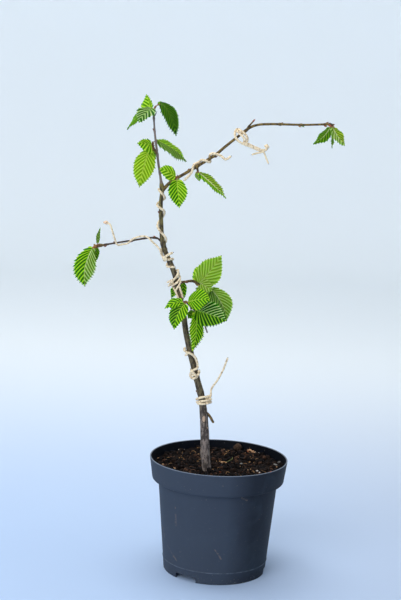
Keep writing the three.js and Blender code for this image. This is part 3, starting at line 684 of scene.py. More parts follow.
class Limb:
    """One limb: a smooth centre line through its points, with a radius that follows them."""

    def __init__(self, points: list[LimbPoint], axis: int = 2) -> None:
        """Take the limb's points.

        Args:
            points: Each point's place and radius.
            axis: The coordinate that places things along the limb.
        """
        self.radii = [p[3] for p in points]
        self.axis = axis
        self.curve = Curve([Vector(p[:3]) for p in points])

    def radius(self, t: float) -> float:
        """The limb's radius at t."""
        place = t * (len(self.radii) - 1)
        first = min(int(place), len(self.radii) - 2)
        return mix(self.radii[first], self.radii[first + 1], place - first)

    def fraction_at(self, value: float) -> float:
        """The t at which the limb's own coordinate reaches a value.

        Args:
            value: The coordinate, in millimetres.

        Returns:
            The value of t.
        """
        rising = self.curve.point(1)[self.axis] > self.curve.point(0)[self.axis]
        return halve(lambda t: (self.curve.point(t)[self.axis] < value) == rising, 40)

    def directions(self, t: float) -> tuple[Vector, Vector, Vector, Vector]:
        """Centre, tangent, front and side at t; the front looks toward -Y as far as it can."""
        along = self.curve.tangent(t)
        front = (Vector((0, -1, 0)) + along * along.y).normalized()
        return self.curve.point(t), along, front, along.cross(front)

    def beside(self, value: float, degrees: float, away: float) -> Vector:
        """A point beside the limb.

        Args:
            value: Where along the limb.
            degrees: The turn from its front.
            away: The distance outside its bark.

        Returns:
            The point.
        """
        t = self.fraction_at(value)
        centre, _, front, side = self.directions(t)
        angle = math.radians(degrees)
        return centre + (front * math.cos(angle) + side * math.sin(angle)) * (self.radius(t) + away)

    def clear_of(self, point: Vector) -> float:
        """How far a point lies outside the bark."""
        count = 8 * len(self.radii)
        stations = [i / count for i in range(count + 1)]
        return min((self.curve.point(t) - point).length - self.radius(t) for t in stations)


def tube(
    curve: Curve,
    radius: Callable[[float], float],
    sides: int,
    spacing: float,
    relief: Callable[[float, float], float] | None = None,
    rounded: tuple[bool, bool] = (False, True),
) -> bmesh.types.BMesh:
    """Bend a cylinder along a curve.

    Args:
        curve: The centre line.
        radius: The radius at each t.
        sides: How many sides the cylinder has.
        spacing: The length of one ring of faces.
        relief: What is added to the radius at a length and an angle.
        rounded: Whether the start and the end close in a round tip.

    Returns:
        The shape.
    """
    rings = max(3, math.ceil(curve.length / spacing))
    bm = bmesh.new()
    bmesh.ops.create_cone(bm, cap_ends=True, segments=sides, radius1=1, radius2=1, depth=1)
    rising = [e for e in bm.edges if abs(e.verts[0].co.z - e.verts[1].co.z) > 0.5]
    bmesh.ops.subdivide_edges(bm, edges=rising, cuts=rings - 1, use_grid_fill=True)
    frames = curve.frames(rings)
    for vert in bm.verts:
        ring = round((vert.co.z + 0.5) * rings)
        angle = math.atan2(vert.co.y, vert.co.x)
        reached = curve.length * ring / rings
        t, centre, normal, side = frames[ring]
        reach = radius(t)
        if relief:
            reach += relief(reached, angle)
        for wanted, gap in zip(rounded, (reached, curve.length - reached)):
            if wanted and gap < reach:
                reach *= max(0.12, math.sqrt(max(1 - (1 - gap / reach) ** 2, 0.0)))
        vert.co = centre + (normal * math.cos(angle) + side * math.sin(angle)) * reach
    return bm


@dataclass
class Piece:
    """Several shapes of one kind, joined into one object of the part."""

    name: str
    slot: str
    replaces: tuple[str, ...]
    bm: bmesh.types.BMesh = field(default_factory=bmesh.new)
    finishes: list[Finish] = field(default_factory=list)

    def index(self, finish: Finish) -> int:
        """The number of a finish's slot, which is added when it is new."""
        if finish not in self.finishes:
            self.finishes.append(finish)
        return self.finishes.index(finish)

    def add(self, part: bmesh.types.BMesh, finish: Finish | None = None) -> None:
        """Join a shape to the piece.

        Args:
            part: The shape, which is used up.
            finish: What all its faces wear, or nothing when they are dressed already.
        """
        for face in part.faces:
            face.smooth = True
            if finish:
                face.material_index = self.index(finish)
        carrier = bpy.data.meshes.new("carrier")
        part.to_mesh(carrier)
        part.free()
        self.bm.from_mesh(carrier)
        bpy.data.meshes.remove(carrier)

    def finish(self, sharp_angle: float = 60.0) -> bpy.types.Object:
        """Make the object, in metres, and hide the frame's parts that it stands for.

        Args:
            sharp_angle: The bend, in degrees, past which an edge stays sharp.

        Returns:
            The finished object.
        """
        bmesh.ops.scale(self.bm, vec=(MM, MM, MM), verts=self.bm.verts)
        mesh = bpy.data.meshes.new(self.name)
        self.bm.to_mesh(mesh)
        self.bm.free()
        mesh.set_sharp_from_angle(angle=math.radians(sharp_angle))
        for finish in self.finishes:
            mesh.materials.append(dressed(finish))
        piece = bpy.data.objects.new(self.name, mesh)
        bpy.context.scene.collection.objects.link(piece)
        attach(piece, BODY)
        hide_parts(*self.replaces)
        triangles = sum(len(p.vertices) - 2 for p in mesh.polygons)
        LOG.info("%s: %d triangles", self.name, triangles)
        return piece


def spun(section: list[Vector], sides: int, merge: float = 0.01) -> bmesh.types.BMesh:
    """Spin a section round the upright.

    Args:
        section: Its corners, from the axis outward.
        sides: How many steps the full turn has.
        merge: How near corners are joined.

    Returns:
        The shape.
    """
    bm = bmesh.new()
    verts = [bm.verts.new(point) for point in section]
    for a, b in zip(verts, verts[1:]):
        bm.edges.new((a, b))
    bmesh.ops.spin(
        bm, geom=[*bm.verts, *bm.edges], cent=(0, 0, 0), axis=(0, 0, 1),
        angle=math.tau, steps=sides, use_merge=True,
    )
    bmesh.ops.remove_doubles(bm, verts=bm.verts, dist=merge)
    bmesh.ops.recalc_face_normals(bm, faces=bm.faces)
    return bm


def pebble(
    centre: Vector, sizes: Vector, turn: float, seed: float, rough: float, level: int = 1
) -> bmesh.types.BMesh:
    """A rough lump.

    Args:
        centre: Its middle.
        sizes: Its half sizes.
        turn: Its turn about the upright, in radians.
        seed: What sets its own shape.
        rough: How much its surface strays, as a share of its size.
        level: How finely it is divided.

    Returns:
        The shape.
    """
    bm = bmesh.new()
    bmesh.ops.create_icosphere(bm, subdivisions=level, radius=1)
    for vert in bm.verts:
        vert.co *= 1 + rough * noise.noise(vert.co * 1.4 + Vector((seed, seed * 0.7, -seed)))
    spin = Matrix.Translation(centre) @ Matrix.Rotation(turn, 4, "Z") @ Matrix.Rotation(seed, 4, "X")
    bmesh.ops.transform(bm, matrix=spin @ Matrix.Diagonal((*sizes, 1)), verts=bm.verts)
    return bm


# Pot


@dataclass(frozen=True)
class NurseryPot:
    """The round pot: a tapered wall under a tall rim band, on a foot ring with drain notches."""

    height: float = 125.0
    rim_radius: float = 75.0
    rim_round: float = 0.7
    band_height: float = 24.0
    band_foot_radius: float = 71.6
    band_under: float = 1.6
    body_radius: float = 65.0
    foot_radius: float = 55.8
    foot_wall: float = 2.0
    wall: float = 1.5
    floor: float = 2.4
    raise_height: float = 6.5
    pad_radius: float = 28.0
    ramp_width: float = 5.0
    ridge_height: float = 12.5
    ridge_proud: float = 0.6
    ridge_width: float = 1.6
    notch_count: int = 3
    notch_width: float = 26.0
    notch_height: float = 6.2
    notch_depth: float = 8.0
    notch_angle: float = 235.5
    notch_round: float = 1.6
    sides: int = 160
    corner_steps: int = 4
    sharp_angle: float = 35.0

    def body_at(self, height: float) -> float:
        """The wall's outer radius at a height."""
        return mix(self.foot_radius, self.body_radius, height / (self.height - self.band_height))

    def band_at(self, height: float) -> float:
        """The rim band's outer radius at a height."""
        up = (height - self.height + self.band_height) / self.band_height
        return mix(self.band_foot_radius, self.rim_radius, up)

    def profile(self) -> list[tuple[float, float, float]]:
        """The wall's section from the axis below to the axis inside.

        Returns:
            Each corner's radius and height, and the radius that rounds it.
        """
        band = self.height - self.band_height
        ridge = self.ridge_height
        plate = self.raise_height + self.floor
        return [
            (0, 0, 0), (self.pad_radius, 0, 1.5), (self.pad_radius + self.ramp_width, self.raise_height, 2),
            (self.foot_radius - self.foot_wall, self.raise_height, 0.6),
            (self.foot_radius - self.foot_wall, 0, 0.4),
            (self.body_at(0), 0, 0.9), (self.body_at(ridge), ridge, 0.5),
            (self.body_at(ridge) + self.ridge_proud, ridge + self.ridge_width / 2, 0.5),
            (self.body_at(ridge + self.ridge_width), ridge + self.ridge_width, 0.5),
            (self.body_at(band), band, 0.9), (self.band_foot_radius, band, self.band_under),
            (self.rim_radius, self.height, self.rim_round),
            (self.rim_radius - self.wall, self.height, self.rim_round),
            (self.band_foot_radius - self.wall, band + self.wall, 1.2),
            (self.body_at(band) - self.wall, band + self.wall, 0.8),
            (self.body_at(plate) - self.wall, plate, 1.5), (self.pad_radius + self.ramp_width, plate, 2),
            (self.pad_radius, self.floor, 1.5), (0, self.floor, 0),
        ]

    def shell(self) -> bmesh.types.BMesh:
        """Round the section's corners and spin it into the pot.

        Returns:
            The pot before its notches are cut.
        """
        corners = self.profile()
        points = []
        for i, (radius, height, bend) in enumerate(corners):
            here = Vector((radius, 0, height))
            if not bend:
                points.append(here)
                continue
            before, after = (Vector((corners[k][0], 0, corners[k][1])) - here for k in (i - 1, i + 1))
            reach = min(bend, before.length * 0.45, after.length * 0.45)
            start = here + before.normalized() * reach
            end = here + after.normalized() * reach
            for k in range(self.corner_steps + 1):
                f = k / self.corner_steps
                points.append(start * (1 - f) ** 2 + here * 2 * f * (1 - f) + end * f * f)
        return spun(points, self.sides)

    def notches(self) -> bmesh.types.BMesh:
        """The blocks that cut the drain notches.

        Returns:
            The blocks.
        """
        bm = bmesh.new()
        for i in range(self.notch_count):
            turn = math.radians(self.notch_angle + 360 * i / self.notch_count)
            block = bmesh.ops.create_cube(bm, size=1)["verts"]
            bmesh.ops.scale(bm, vec=(self.notch_depth, self.notch_width, 2 * self.notch_height), verts=block)
            upright = {e for v in block for e in v.link_edges if abs(e.verts[0].co.x - e.verts[1].co.x) > 1}
            bevelled = bmesh.ops.bevel(
                bm, geom=list(upright), offset=self.notch_round, segments=3, affect="EDGES",
                profile=0.5, material=-1,
            )
            moved = list({v for v in [*block, *bevelled["verts"]] if v.is_valid})
            bmesh.ops.translate(bm, vec=(self.foot_radius - self.foot_wall, 0, 0), verts=moved)
            bmesh.ops.rotate(bm, cent=(0, 0, 0), matrix=Matrix.Rotation(turn, 3, "Z"), verts=moved)
        return bm

    def build(self) -> None:
        """Make the pot."""
        piece = Piece("nursery_pot", "pot_plastic", ("pot",))
        pot = as_object("pot_shell", self.shell())
        cutter = as_object("notch_blocks", self.notches())
        cut = pot.modifiers.new("notches", "BOOLEAN")
        cut.operation = "DIFFERENCE"
        cut.solver = "EXACT"
        cut.object = cutter
        bpy.context.view_layer.update()
        whole = pot.evaluated_get(bpy.context.evaluated_depsgraph_get()).to_mesh()
        part = bmesh.new()
        part.from_mesh(whole)
        for spare in (pot, cutter):
            mesh = spare.data
            bpy.data.objects.remove(spare)
            bpy.data.meshes.remove(mesh)
        piece.add(part, POT_PLASTIC)
        piece.finish(self.sharp_angle)


def as_object(name: str, bm: bmesh.types.BMesh) -> bpy.types.Object:
    """Make a plain object from a shape.

    Args:
        name: The object's name.
        bm: The shape, which is used up.

    Returns:
        The object.
    """
    mesh = bpy.data.meshes.new(name)
    bm.to_mesh(mesh)
    bm.free()
    result = bpy.data.objects.new(name, mesh)
    bpy.context.scene.collection.objects.link(result)
    return result


# Peat


@dataclass(frozen=True)
class PeatFilling:
    """The peat: a rough bed in the pot, loose crumbs, fibres, wood chips, grit and one round clod."""

    pot: NurseryPot
    top: float = 115.0
    inset: float = 2.1
    lift: float = 0.4
    sink: float = 0.3
    # The dip at the wall, the rise to the back and the mound at the trunk: how high, and from where to where
    wall_dip: Point = (1.0, 52.0, 71.0)
    back_rise: Point = (1.8, 15.0, 66.0)
    trunk_mound: Point = (0.9, 5.0, 16.0)
    # The bed's unevenness: each size of lump across, how high it stands, and where its noise is read
    lumps: tuple[Point, ...] = ((12.0, 1.9, 3.1), (4.6, 1.3, 7.7), (2.1, 0.8, 1.3))
    bed_rings: int = 84
    bed_sides: int = 216
    crumb_count: int = 1900
    crumb_reach: float = 69.5
    crumb_seed: int = 2027
    # The crumbs' half sizes: the least, how much more the greatest has, and how rare great ones are
    crumb_sizes: Point = (0.5, 2.9, 2.8)
    # The draws below which a crumb takes the first finish and the second
    crumb_picks: tuple[float, float] = (0.6, 0.93)
    fibre_count: int = 170
    fibre_start_reach: float = 64.0
    fibre_reach: float = 68.0
    fibre_seed: int = 415
    fibre_length: tuple[float, float] = (2.5, 11.0)
    fibre_radius: tuple[float, float] = (0.14, 0.3)
    fibre_bend: float = 0.35
    fibre_steps: int = 4
    fibre_lift: float = 0.5
    fibre_arch: float = 0.9
    # The two long fibres beside the trunk: each end, the radius, the bend and the finish
    long_fibres: tuple[tuple[tuple[float, float], tuple[float, float], float, float, PlainSkin], ...] = (
        ((-2.5, 19.0), (14.0, -4.0), 0.5, 0.1, FIBRE_STRAW),
        ((7.5, 12.0), (16.0, 30.0), 0.34, -0.1, FIBRE_GREEN),
    )
    chip_count: int = 60
    chip_reach: float = 66.0
    # Half sizes
    chip_length: tuple[float, float] = (0.7, 1.9)
    chip_width: tuple[float, float] = (0.4, 0.9)
    chip_thickness: float = 0.35
    clod_at: Point = (22.6, 62.5, 119.6)
    clod_sizes: Point = (5.0, 4.6, 4.25)
    trunk_foot: tuple[float, float] = (-12.5, -24.0)
    # Single chips and stones that show: the place on the bed, how high each lies, its size and finish
    placed_chips: tuple[tuple[float, float, float, float, PlainSkin], ...] = (
        (33.0, 58.0, 1.4, 2.2, CHIP_RED), (34.5, 61.0, 2.2, 1.6, CHIP), (37.0, 60.5, 2.4, 2.4, CHIP),
        (39.5, 58.0, 1.6, 1.9, CHIP), (41.5, 55.0, 1.2, 1.5, CHIP), (43.5, 57.5, 2.2, 1.5, GRIT),
        (46.0, 54.0, 1.4, 1.4, GRIT), (45.0, 50.0, 1.0, 1.2, CHIP), (68.0, 22.0, 1.6, 2.4, STONE),
        (63.0, 12.0, 1.2, 2.6, STONE), (41.4, -21.5, 1.4, 1.6, GRIT), (44.0, -25.0, 1.2, 1.8, GRIT),
        (57.0, -18.0, 1.4, 2.2, CHIP_RED), (61.0, -12.0, 1.2, 1.4, CHIP_RED), (-44.0, 54.0, 1.8, 1.4, GRIT),
        (-38.5, 56.0, 1.8, 1.2, GRIT), (-66.0, 18.0, 1.2, 1.4, CHIP), (-41.8, -8.0, 1.2, 2.6, CHIP_RED),
        (-47.0, -18.0, 1.0, 1.6, CHIP), (14.0, -8.0, 1.0, 1.4, CHIP), (4.0, 8.0, 1.2, 1.6, CHIP),
        (25.0, 5.0, 1.2, 1.6, STONE),
    )

    def ground(self, x: float, y: float) -> float:
        """The height of the bed at a place.

        Args:
            x: The place along X.
            y: The place along Y.

        Returns:
            The height.
        """
        lumps = sum(high * noise.noise(Vector((x / size, y / size, seed))) for size, high, seed in self.lumps)
        near = math.hypot(x - self.trunk_foot[0], y - self.trunk_foot[1])
        (dip, *dipping), (rise, *rising), (mound, *falling) = self.wall_dip, self.back_rise, self.trunk_mound
        edge = -dip * smooth(*dipping, math.hypot(x, y))
        behind = rise * smooth(*rising, y)
        return self.top - self.sink + lumps + edge + behind + mound * (1 - smooth(*falling, near))

    def bed(self) -> bmesh.types.BMesh:
        """The filling, open nowhere, with its rough top.

        Returns:
            The shape.
        """
        pot = self.pot
        foot = pot.floor + self.lift
        plate = pot.raise_height + foot
        band = pot.height - pot.band_height + pot.wall + self.lift
        rim = pot.band_at(self.top) - self.inset
        outline = [
            (0, foot), (pot.pad_radius - self.lift, foot),
            (pot.pad_radius + pot.ramp_width - self.lift, plate),
            (pot.body_at(plate) - self.inset, plate), (pot.body_at(band) - self.inset, band),
            (pot.band_at(band) - self.inset, band),
            *((rim * (1 - i / self.bed_rings) ** 0.8, self.top) for i in range(self.bed_rings + 1)),
        ]
        bm = spun([Vector((radius, 0, height)) for radius, height in outline], self.bed_sides)
        for vert in bm.verts:
            if vert.co.z > self.top - 0.01:
                vert.co.z = self.ground(vert.co.x, vert.co.y)
        return bm

    def scattered(self, draw: Iterator[float], reach: float) -> tuple[float, float]:
        """An even random place on the bed.

        Args:
            draw: The random numbers.
            reach: The radius of the bed that is used.

        Returns:
            The place along X and Y.
        """
        radius = reach * math.sqrt(next(draw))
        angle = math.tau * next(draw)
        return radius * math.cos(angle), radius * math.sin(angle)

    def crumbs(self) -> None:
        """Strew the crumbs, chips and grit."""
        piece = Piece("peat_crumbs", "peat", ("soil",))
        draw = seeded(self.crumb_seed)
        least, more, rarity = self.crumb_sizes
        for i in range(self.crumb_count):
            x, y = self.scattered(draw, self.crumb_reach)
            size = least + more * next(draw) ** rarity
            sizes = Vector((size, size * mix(0.6, 1, next(draw)), size * mix(0.5, 0.9, next(draw))))
            centre = Vector((x, y, self.ground(x, y) + sizes.z * 0.4))
            pick = next(draw)
            finish = PEAT_CRUMBS[bisect_right(self.crumb_picks, pick)]
            level = 2 if size > 2.2 else 1
            lump = pebble(centre, sizes, math.tau * next(draw), seed=i * 0.37, rough=0.8, level=level)
            piece.add(lump, finish)
        for i in range(self.chip_count):
            x, y = self.scattered(draw, self.chip_reach)
            sizes = Vector((
                mix(*self.chip_length, next(draw)), mix(*self.chip_width, next(draw)), self.chip_thickness,
            ))
            finish = CHIP if next(draw) < 0.7 else CHIP_RED
            centre = Vector((x, y, self.ground(x, y) + 0.7))
            piece.add(pebble(centre, sizes, math.tau * next(draw), seed=i, rough=0.4), finish)
        for x, y, lift, size, finish in self.placed_chips:
            sizes = Vector((size, size * mix(0.5, 0.9, next(draw)), size * 0.45))
            centre = Vector((x, y, self.ground(x, y) + lift))
            piece.add(pebble(centre, sizes, math.tau * next(draw), seed=x, rough=0.5, level=2), finish)
        piece.finish()

    def fibres(self) -> None:
        """Lay the loose fibres."""
        piece = Piece("peat_fibres", "peat", ("soil",))
        draw = seeded(self.fibre_seed)
        laid = [(Vector(start), Vector(end), *rest) for start, end, *rest in self.long_fibres]
        for _ in range(self.fibre_count):
            start = Vector(self.scattered(draw, self.fibre_start_reach))
            angle = math.tau * next(draw)
            way = Vector((math.cos(angle), math.sin(angle)))
            end = start + way * mix(*self.fibre_length, next(draw) ** 2)
            finish = FIBRE_STRAW if next(draw) < 0.35 else FIBRE_BROWN
            radius = mix(*self.fibre_radius, next(draw))
            bend = mix(-self.fibre_bend, self.fibre_bend, next(draw))
            laid.append((start, end, radius, bend, finish))
        for start, end, radius, bend, finish in laid:
            across = Vector((start.y - end.y, end.x - start.x))
            points = []
            for k in range(self.fibre_steps + 1):
                f = k / self.fibre_steps
                flat = start.lerp(end, f) + across * bend * 4 * f * (1 - f)
                if flat.length > self.fibre_reach:
                    flat *= self.fibre_reach / flat.length
                lift = radius + self.fibre_lift + self.fibre_arch * math.sin(math.pi * f)
                points.append(Vector((flat.x, flat.y, self.ground(flat.x, flat.y) + lift)))
            fibre = tube(Curve(points), lambda _, r=radius: r, sides=5, spacing=1.2, rounded=(True, True))
            piece.add(fibre, finish)
        piece.finish()

    def build(self) -> None:
        """Make the bed, what lies on it, and the clod."""
        piece = Piece("peat_bed", "peat", ("soil",))
        piece.add(self.bed(), PEAT_BED)
        piece.finish()
        self.crumbs()
        self.fibres()
        clod = Piece("peat_clod", "peat", ("soil",))
        lump = pebble(Vector(self.clod_at), Vector(self.clod_sizes), turn=0.4, seed=2.2, rough=0.16, level=4)
        clod.add(lump, CLOD_SKIN)
        clod.finish()


# Trunk and boughs


TRUNK = Limb([
    (-12.5, -24, 113, 5.2), (-13.5, -24, 121, 5.2), (-15, -24, 134, 4.9), (-16.5, -23, 156, 4.7),
    (-18.5, -22, 177, 4.3), (-21.5, -21, 195, 3.7), (-27, -20, 214, 3.5), (-34, -18.5, 238, 3.3),
    (-40.5, -17, 263, 3.1), (-45, -16, 287, 2.9), (-52.5, -14, 316, 2.8), (-57, -14, 330, 2.8),
    (-66, -14, 349, 2.6), (-69.5, -14, 361, 2.4), (-71.5, -13, 382, 2.2), (-72.5, -12, 401, 2.0),
    (-71.6, -12, 414, 2.0), (-73.5, -11, 424, 1.3), (-76.5, -10, 440, 1.2), (-79, -9, 456, 1.1),
    (-81.5, -8, 472, 1.05), (-83.5, -7, 492, 1.0),
])
BOUGH_RIGHT = Limb([
    (-71, -12, 413, 1.9), (-64, -13, 421, 1.8), (-57, -14, 426, 1.7), (-47.5, -14, 432, 1.6),
    (-33, -14, 441.5, 1.6), (-17, -13, 452.5, 1.6), (-7.5, -12, 461, 1.45), (11, -10, 476.5, 1.4),
    (18, -9, 482, 1.4), (26, -8, 484.8, 1.3), (38, -8, 486, 1.25), (73.5, -6, 486.7, 1.15),
    (101, -5, 488.5, 1.1),
], 0)
BOUGH_LEFT = Limb([
    (-69, -14, 357.5, 1.2), (-74.5, -15, 362.5, 1.0), (-81.5, -16, 363, 1.0), (-98.5, -17, 360, 0.95),
    (-116, -16, 356.5, 0.9), (-131.5, -14, 353, 1.0),
], 0)
STUB = Limb([(-18.5, -22, 181, 1.7), (-12.5, -22.5, 176, 1.5), (-8, -23, 169, 1.3)])
SPUR = Limb([(12, -10, 477, 1.0), (17, -10, 484, 0.9), (21, -10.5, 489, 0.7)])
BudRow = tuple[float, float, float, float, PlainSkin]


def bud(base: Vector, way: Vector, length: float, girth: float) -> bmesh.types.BMesh:
    """A pointed bud with overlapping scales.

    Args:
        base: Where it leaves the shoot.
        way: The direction in which it points.
        length: Its length.
        girth: Its greatest radius.

    Returns:
        The shape.
    """
    way = way.normalized()
    curve = Curve([base, base + way * length * 0.5, base + way * length])

    def radius(t: float) -> float:
        """The bud's radius, widest a third of the way up."""
        return girth * max(0.12, math.sin(math.pi * min(t * 0.92 + 0.2, 1.0)) ** 0.8)

    def scales(reached: float, angle: float) -> float:
        """The lapped edges of the bud's scales."""
        return 0.16 * girth * ((reached / (0.55 * girth) + angle / math.pi) % 1.0)

    return tube(curve, radius, sides=12, spacing=length / 14, relief=scales)


def collar(limb: Limb, value: float, proud: float, width: float) -> Callable[[float], float]:
    """A ring that stands out round a limb.

    Args:
        limb: The limb.
        value: Where the ring is along it.
        proud: How far it stands out.
        width: Half its width.

    Returns:
        What the ring adds at a length along the limb.
    """
    t = limb.fraction_at(value)
    count = Curve.STEPS * len(limb.curve.cubics)
    index = min(int(t * count), count)
    middle = limb.curve.reached[index]
    return lambda reached: proud * math.exp(-(((reached - middle) / width) ** 2))


@dataclass(frozen=True)
class WoodyPlant:
    """The trunk and its two boughs, with nodes, buds, scars, an old stub and a dead spur."""

    trunk_sides: int = 40
    bough_sides: int = 20
    trunk_spacing: float = 0.75
    bough_spacing: float = 0.6
    fissure_depth: float = 0.42
    fissured_height: float = 150.0
    grain_height: float = 0.06
    wander_share: float = 0.05
    lenticel_height: float = 0.16
    lenticel_reach: float = 0.22
    # The sizes round and along a limb of the bark's cracks, grain, wandering and lenticels
    patterns: tuple[tuple[float, float], ...] = ((1.5, 9.0), (0.8, 3.0), (5.0, 16.0), (1.6, 4.4))
    # Where the trunk's nodes are, how far each stands out, and its half width
    trunk_nodes: tuple[Point, ...] = (
        (136.0, 0.25, 3.5), (201.0, 0.2, 2.5), (243.0, 0.25, 2.5), (293.0, 0.5, 3.0), (317.0, 0.5, 3.0),
        (351.5, 0.45, 1.4), (357.0, 0.5, 2.5), (388.0, 0.25, 2.0), (418.0, 0.8, 3.5), (431.0, 0.2, 1.2),
        (450.0, 0.45, 2.2), (455.5, 0.3, 1.2), (474.0, 0.2, 1.2), (488.0, 0.35, 1.6),
    )
    right_nodes: tuple[Point, ...] = (
        (-57.0, 0.5, 2.4), (-36.0, 0.5, 2.6), (-17.0, 0.45, 1.8), (13.0, 0.4, 2.4), (51.0, 0.5, 1.4),
        (72.0, 0.4, 1.4), (97.0, 0.35, 2.0),
    )
    left_nodes: tuple[Point, ...] = (
        (-78.0, 0.35, 1.8), (-101.0, 0.3, 1.4), (-119.0, 0.35, 1.4), (-129.0, 0.4, 2.4),
    )
    spur_nodes: tuple[Point, ...] = ((483.0, 0.25, 1.0),)
    # Single buds: where each is along its limb, its turn in degrees, its length, its girth and its finish
    trunk_buds: tuple[BudRow, ...] = (
        (489.0, 100.0, 6.5, 0.55, LEADER_BARK), (474.5, -60.0, 3.0, 0.7, BUD_BROWN),
        (431.5, 80.0, 3.2, 0.75, BUD_BROWN), (389.0, -70.0, 3.0, 0.8, BUD_BROWN),
        (244.0, 75.0, 2.6, 0.9, BUD_BROWN), (202.0, -80.0, 2.2, 0.9, BUD_BROWN),
    )
    right_buds: tuple[BudRow, ...] = (
        (-19.0, 100.0, 3.4, 0.95, BUD_BROWN), (-44.5, -95.0, 2.6, 0.8, BUD_BROWN),
        (50.0, -95.0, 2.4, 0.7, BUD_BROWN), (68.0, 92.0, 3.6, 0.9, BRACT),
        (71.5, 96.0, 3.4, 0.85, BRACT_GREEN), (94.5, 95.0, 4.2, 1.0, BUD_RED),
        (99.0, 60.0, 4.6, 1.1, BUD_RED), (97.0, -95.0, 3.2, 0.9, BUD_BROWN),
    )
    left_buds: tuple[BudRow, ...] = (
        (-77.0, 95.0, 2.6, 0.8, BUD_RED), (-100.5, -90.0, 2.6, 0.7, BUD_BROWN),
        (-118.5, 90.0, 2.8, 0.7, BUD_BROWN), (-128.0, -70.0, 3.6, 0.95, BUD_BROWN),
    )
    # Old scars on the trunk: where each is, its turn, and half its length and width
    scars: tuple[LimbPoint, ...] = ((172.5, -2, 3.6, 1.7), (163.0, 42, 1.2, 1.0))
    scar_steps: int = 12
    scar_lip: float = 0.34
    scar_thickness: float = 0.5
    # Half sizes of the wood that shows where the stub was cut
    stub_cut: Point = (1.1, 1.1, 0.5)
    foot_cut: float = 114.2
    leader_height: float = 420.0

    def bark_relief(
        self, limb: Limb, nodes: tuple[Point, ...], fissured: float = 0.0
    ) -> Callable[[float, float], float]:
        """The relief of one limb's bark.

        Args:
            limb: The limb.
            nodes: Its nodes.
            fissured: How far up from its foot the bark is fissured.

        Returns:
            What the bark adds at a length and an angle.
        """
        rings = [collar(limb, *node) for node in nodes]
        girth = limb.radii[0]

        def relief(reached: float, angle: float) -> float:
            """Fissures at the foot, then smooth bark with small raised lenticels."""
            x, y = math.cos(angle) * girth, math.sin(angle) * girth
            old = 1 - smooth(fissured * 0.4, max(fissured, 1.0), reached)
            cracks, grains, wanders, spots = (
                Vector((x / around, y / around, reached / along)) for around, along in self.patterns
            )
            rough = -self.fissure_depth * old * max(0.0, 1 - 4.5 * abs(noise.noise(cracks)))
            rough += self.grain_height * (0.4 + old) * noise.noise(grains)
            rough += self.wander_share * girth * noise.noise(wanders)
            nearest = noise.voronoi(spots)[0][0]
            raised = self.lenticel_height * max(0.0, 1 - nearest / self.lenticel_reach) * (1 - old)
            return rough + raised + sum(ring(reached) for ring in rings)

        return relief

    def build(self) -> None:
        """Make the trunk and both boughs."""
        self.trunk()
        piece = Piece("bough_right_bark", "twig_bark", ("bough_right",))
        self.limb(piece, BOUGH_RIGHT, self.bough_sides, self.bough_spacing, self.right_nodes, TWIG_BARK)
        self.limb(piece, SPUR, sides=14, spacing=0.5, nodes=self.spur_nodes, finish=TWIG_BARK)
        piece.add(bud(SPUR.curve.point(0.86), SPUR.curve.tangent(1), length=4.2, girth=0.85), BUD_RED)
        self.side_buds(piece, BOUGH_RIGHT, self.right_buds)
        piece.finish()
        piece = Piece("bough_left_bark", "twig_bark", ("bough_left",))
        self.limb(piece, BOUGH_LEFT, self.bough_sides, self.bough_spacing, self.left_nodes, DARK_TWIG_BARK)
        self.side_buds(piece, BOUGH_LEFT, self.left_buds)
        piece.finish()

    def limb(
        self, piece: Piece, limb: Limb, sides: int, spacing: float, nodes: tuple[Point, ...],
        finish: YoungBark, round_tip: bool = True,
    ) -> None:
        """Grow one small limb.

        Args:
            piece: The piece that takes it.
            limb: The limb.
            sides: How many sides it has.
            spacing: The length of one ring of faces.
            nodes: Its nodes.
            finish: Its bark.
            round_tip: Whether it ends in a round tip.
        """
        relief = self.bark_relief(limb, nodes)
        piece.add(tube(limb.curve, limb.radius, sides, spacing, relief, (False, round_tip)), finish)

    def trunk(self) -> None:
        """The trunk, its stub, its scars and the buds on its leader."""
        piece = Piece("trunk_bark", "bark", ("trunk",))
        relief = self.bark_relief(TRUNK, self.trunk_nodes, self.fissured_height)
        wood = tube(TRUNK.curve, TRUNK.radius, self.trunk_sides, self.trunk_spacing, relief)
        flat = bmesh.ops.bisect_plane(
            wood, geom=[*wood.verts, *wood.edges, *wood.faces], plane_co=(0, 0, self.foot_cut),
            plane_no=(0, 0, 1), clear_inner=True,
        )
        rim = [e for e in flat["geom_cut"] if isinstance(e, bmesh.types.BMEdge)]
        bmesh.ops.holes_fill(wood, edges=rim, sides=0)
        bark, young = piece.index(TRUNK_BARK), piece.index(LEADER_BARK)
        for face in wood.faces:
            face.material_index = young if face.calc_center_median().z > self.leader_height else bark
        piece.add(wood)
        self.limb(piece, STUB, sides=18, spacing=0.6, nodes=(), finish=TWIG_BARK, round_tip=False)
        cut = pebble(STUB.curve.point(1), Vector(self.stub_cut), turn=0.0, seed=1.0, rough=0.1, level=2)
        piece.add(cut, CUT_WOOD)
        for value, turn, length, width in self.scars:
            piece.add(self.scar(TRUNK, value, turn, length, width), SCAR_LIP)
            centre = TRUNK.beside(value, turn, -0.15)
            sizes = Vector((width, self.scar_thickness, length))
            piece.add(pebble(centre, sizes, math.radians(turn), seed=0.0, rough=0.12, level=3), SCAR)
        self.side_buds(piece, TRUNK, self.trunk_buds)
        piece.finish()

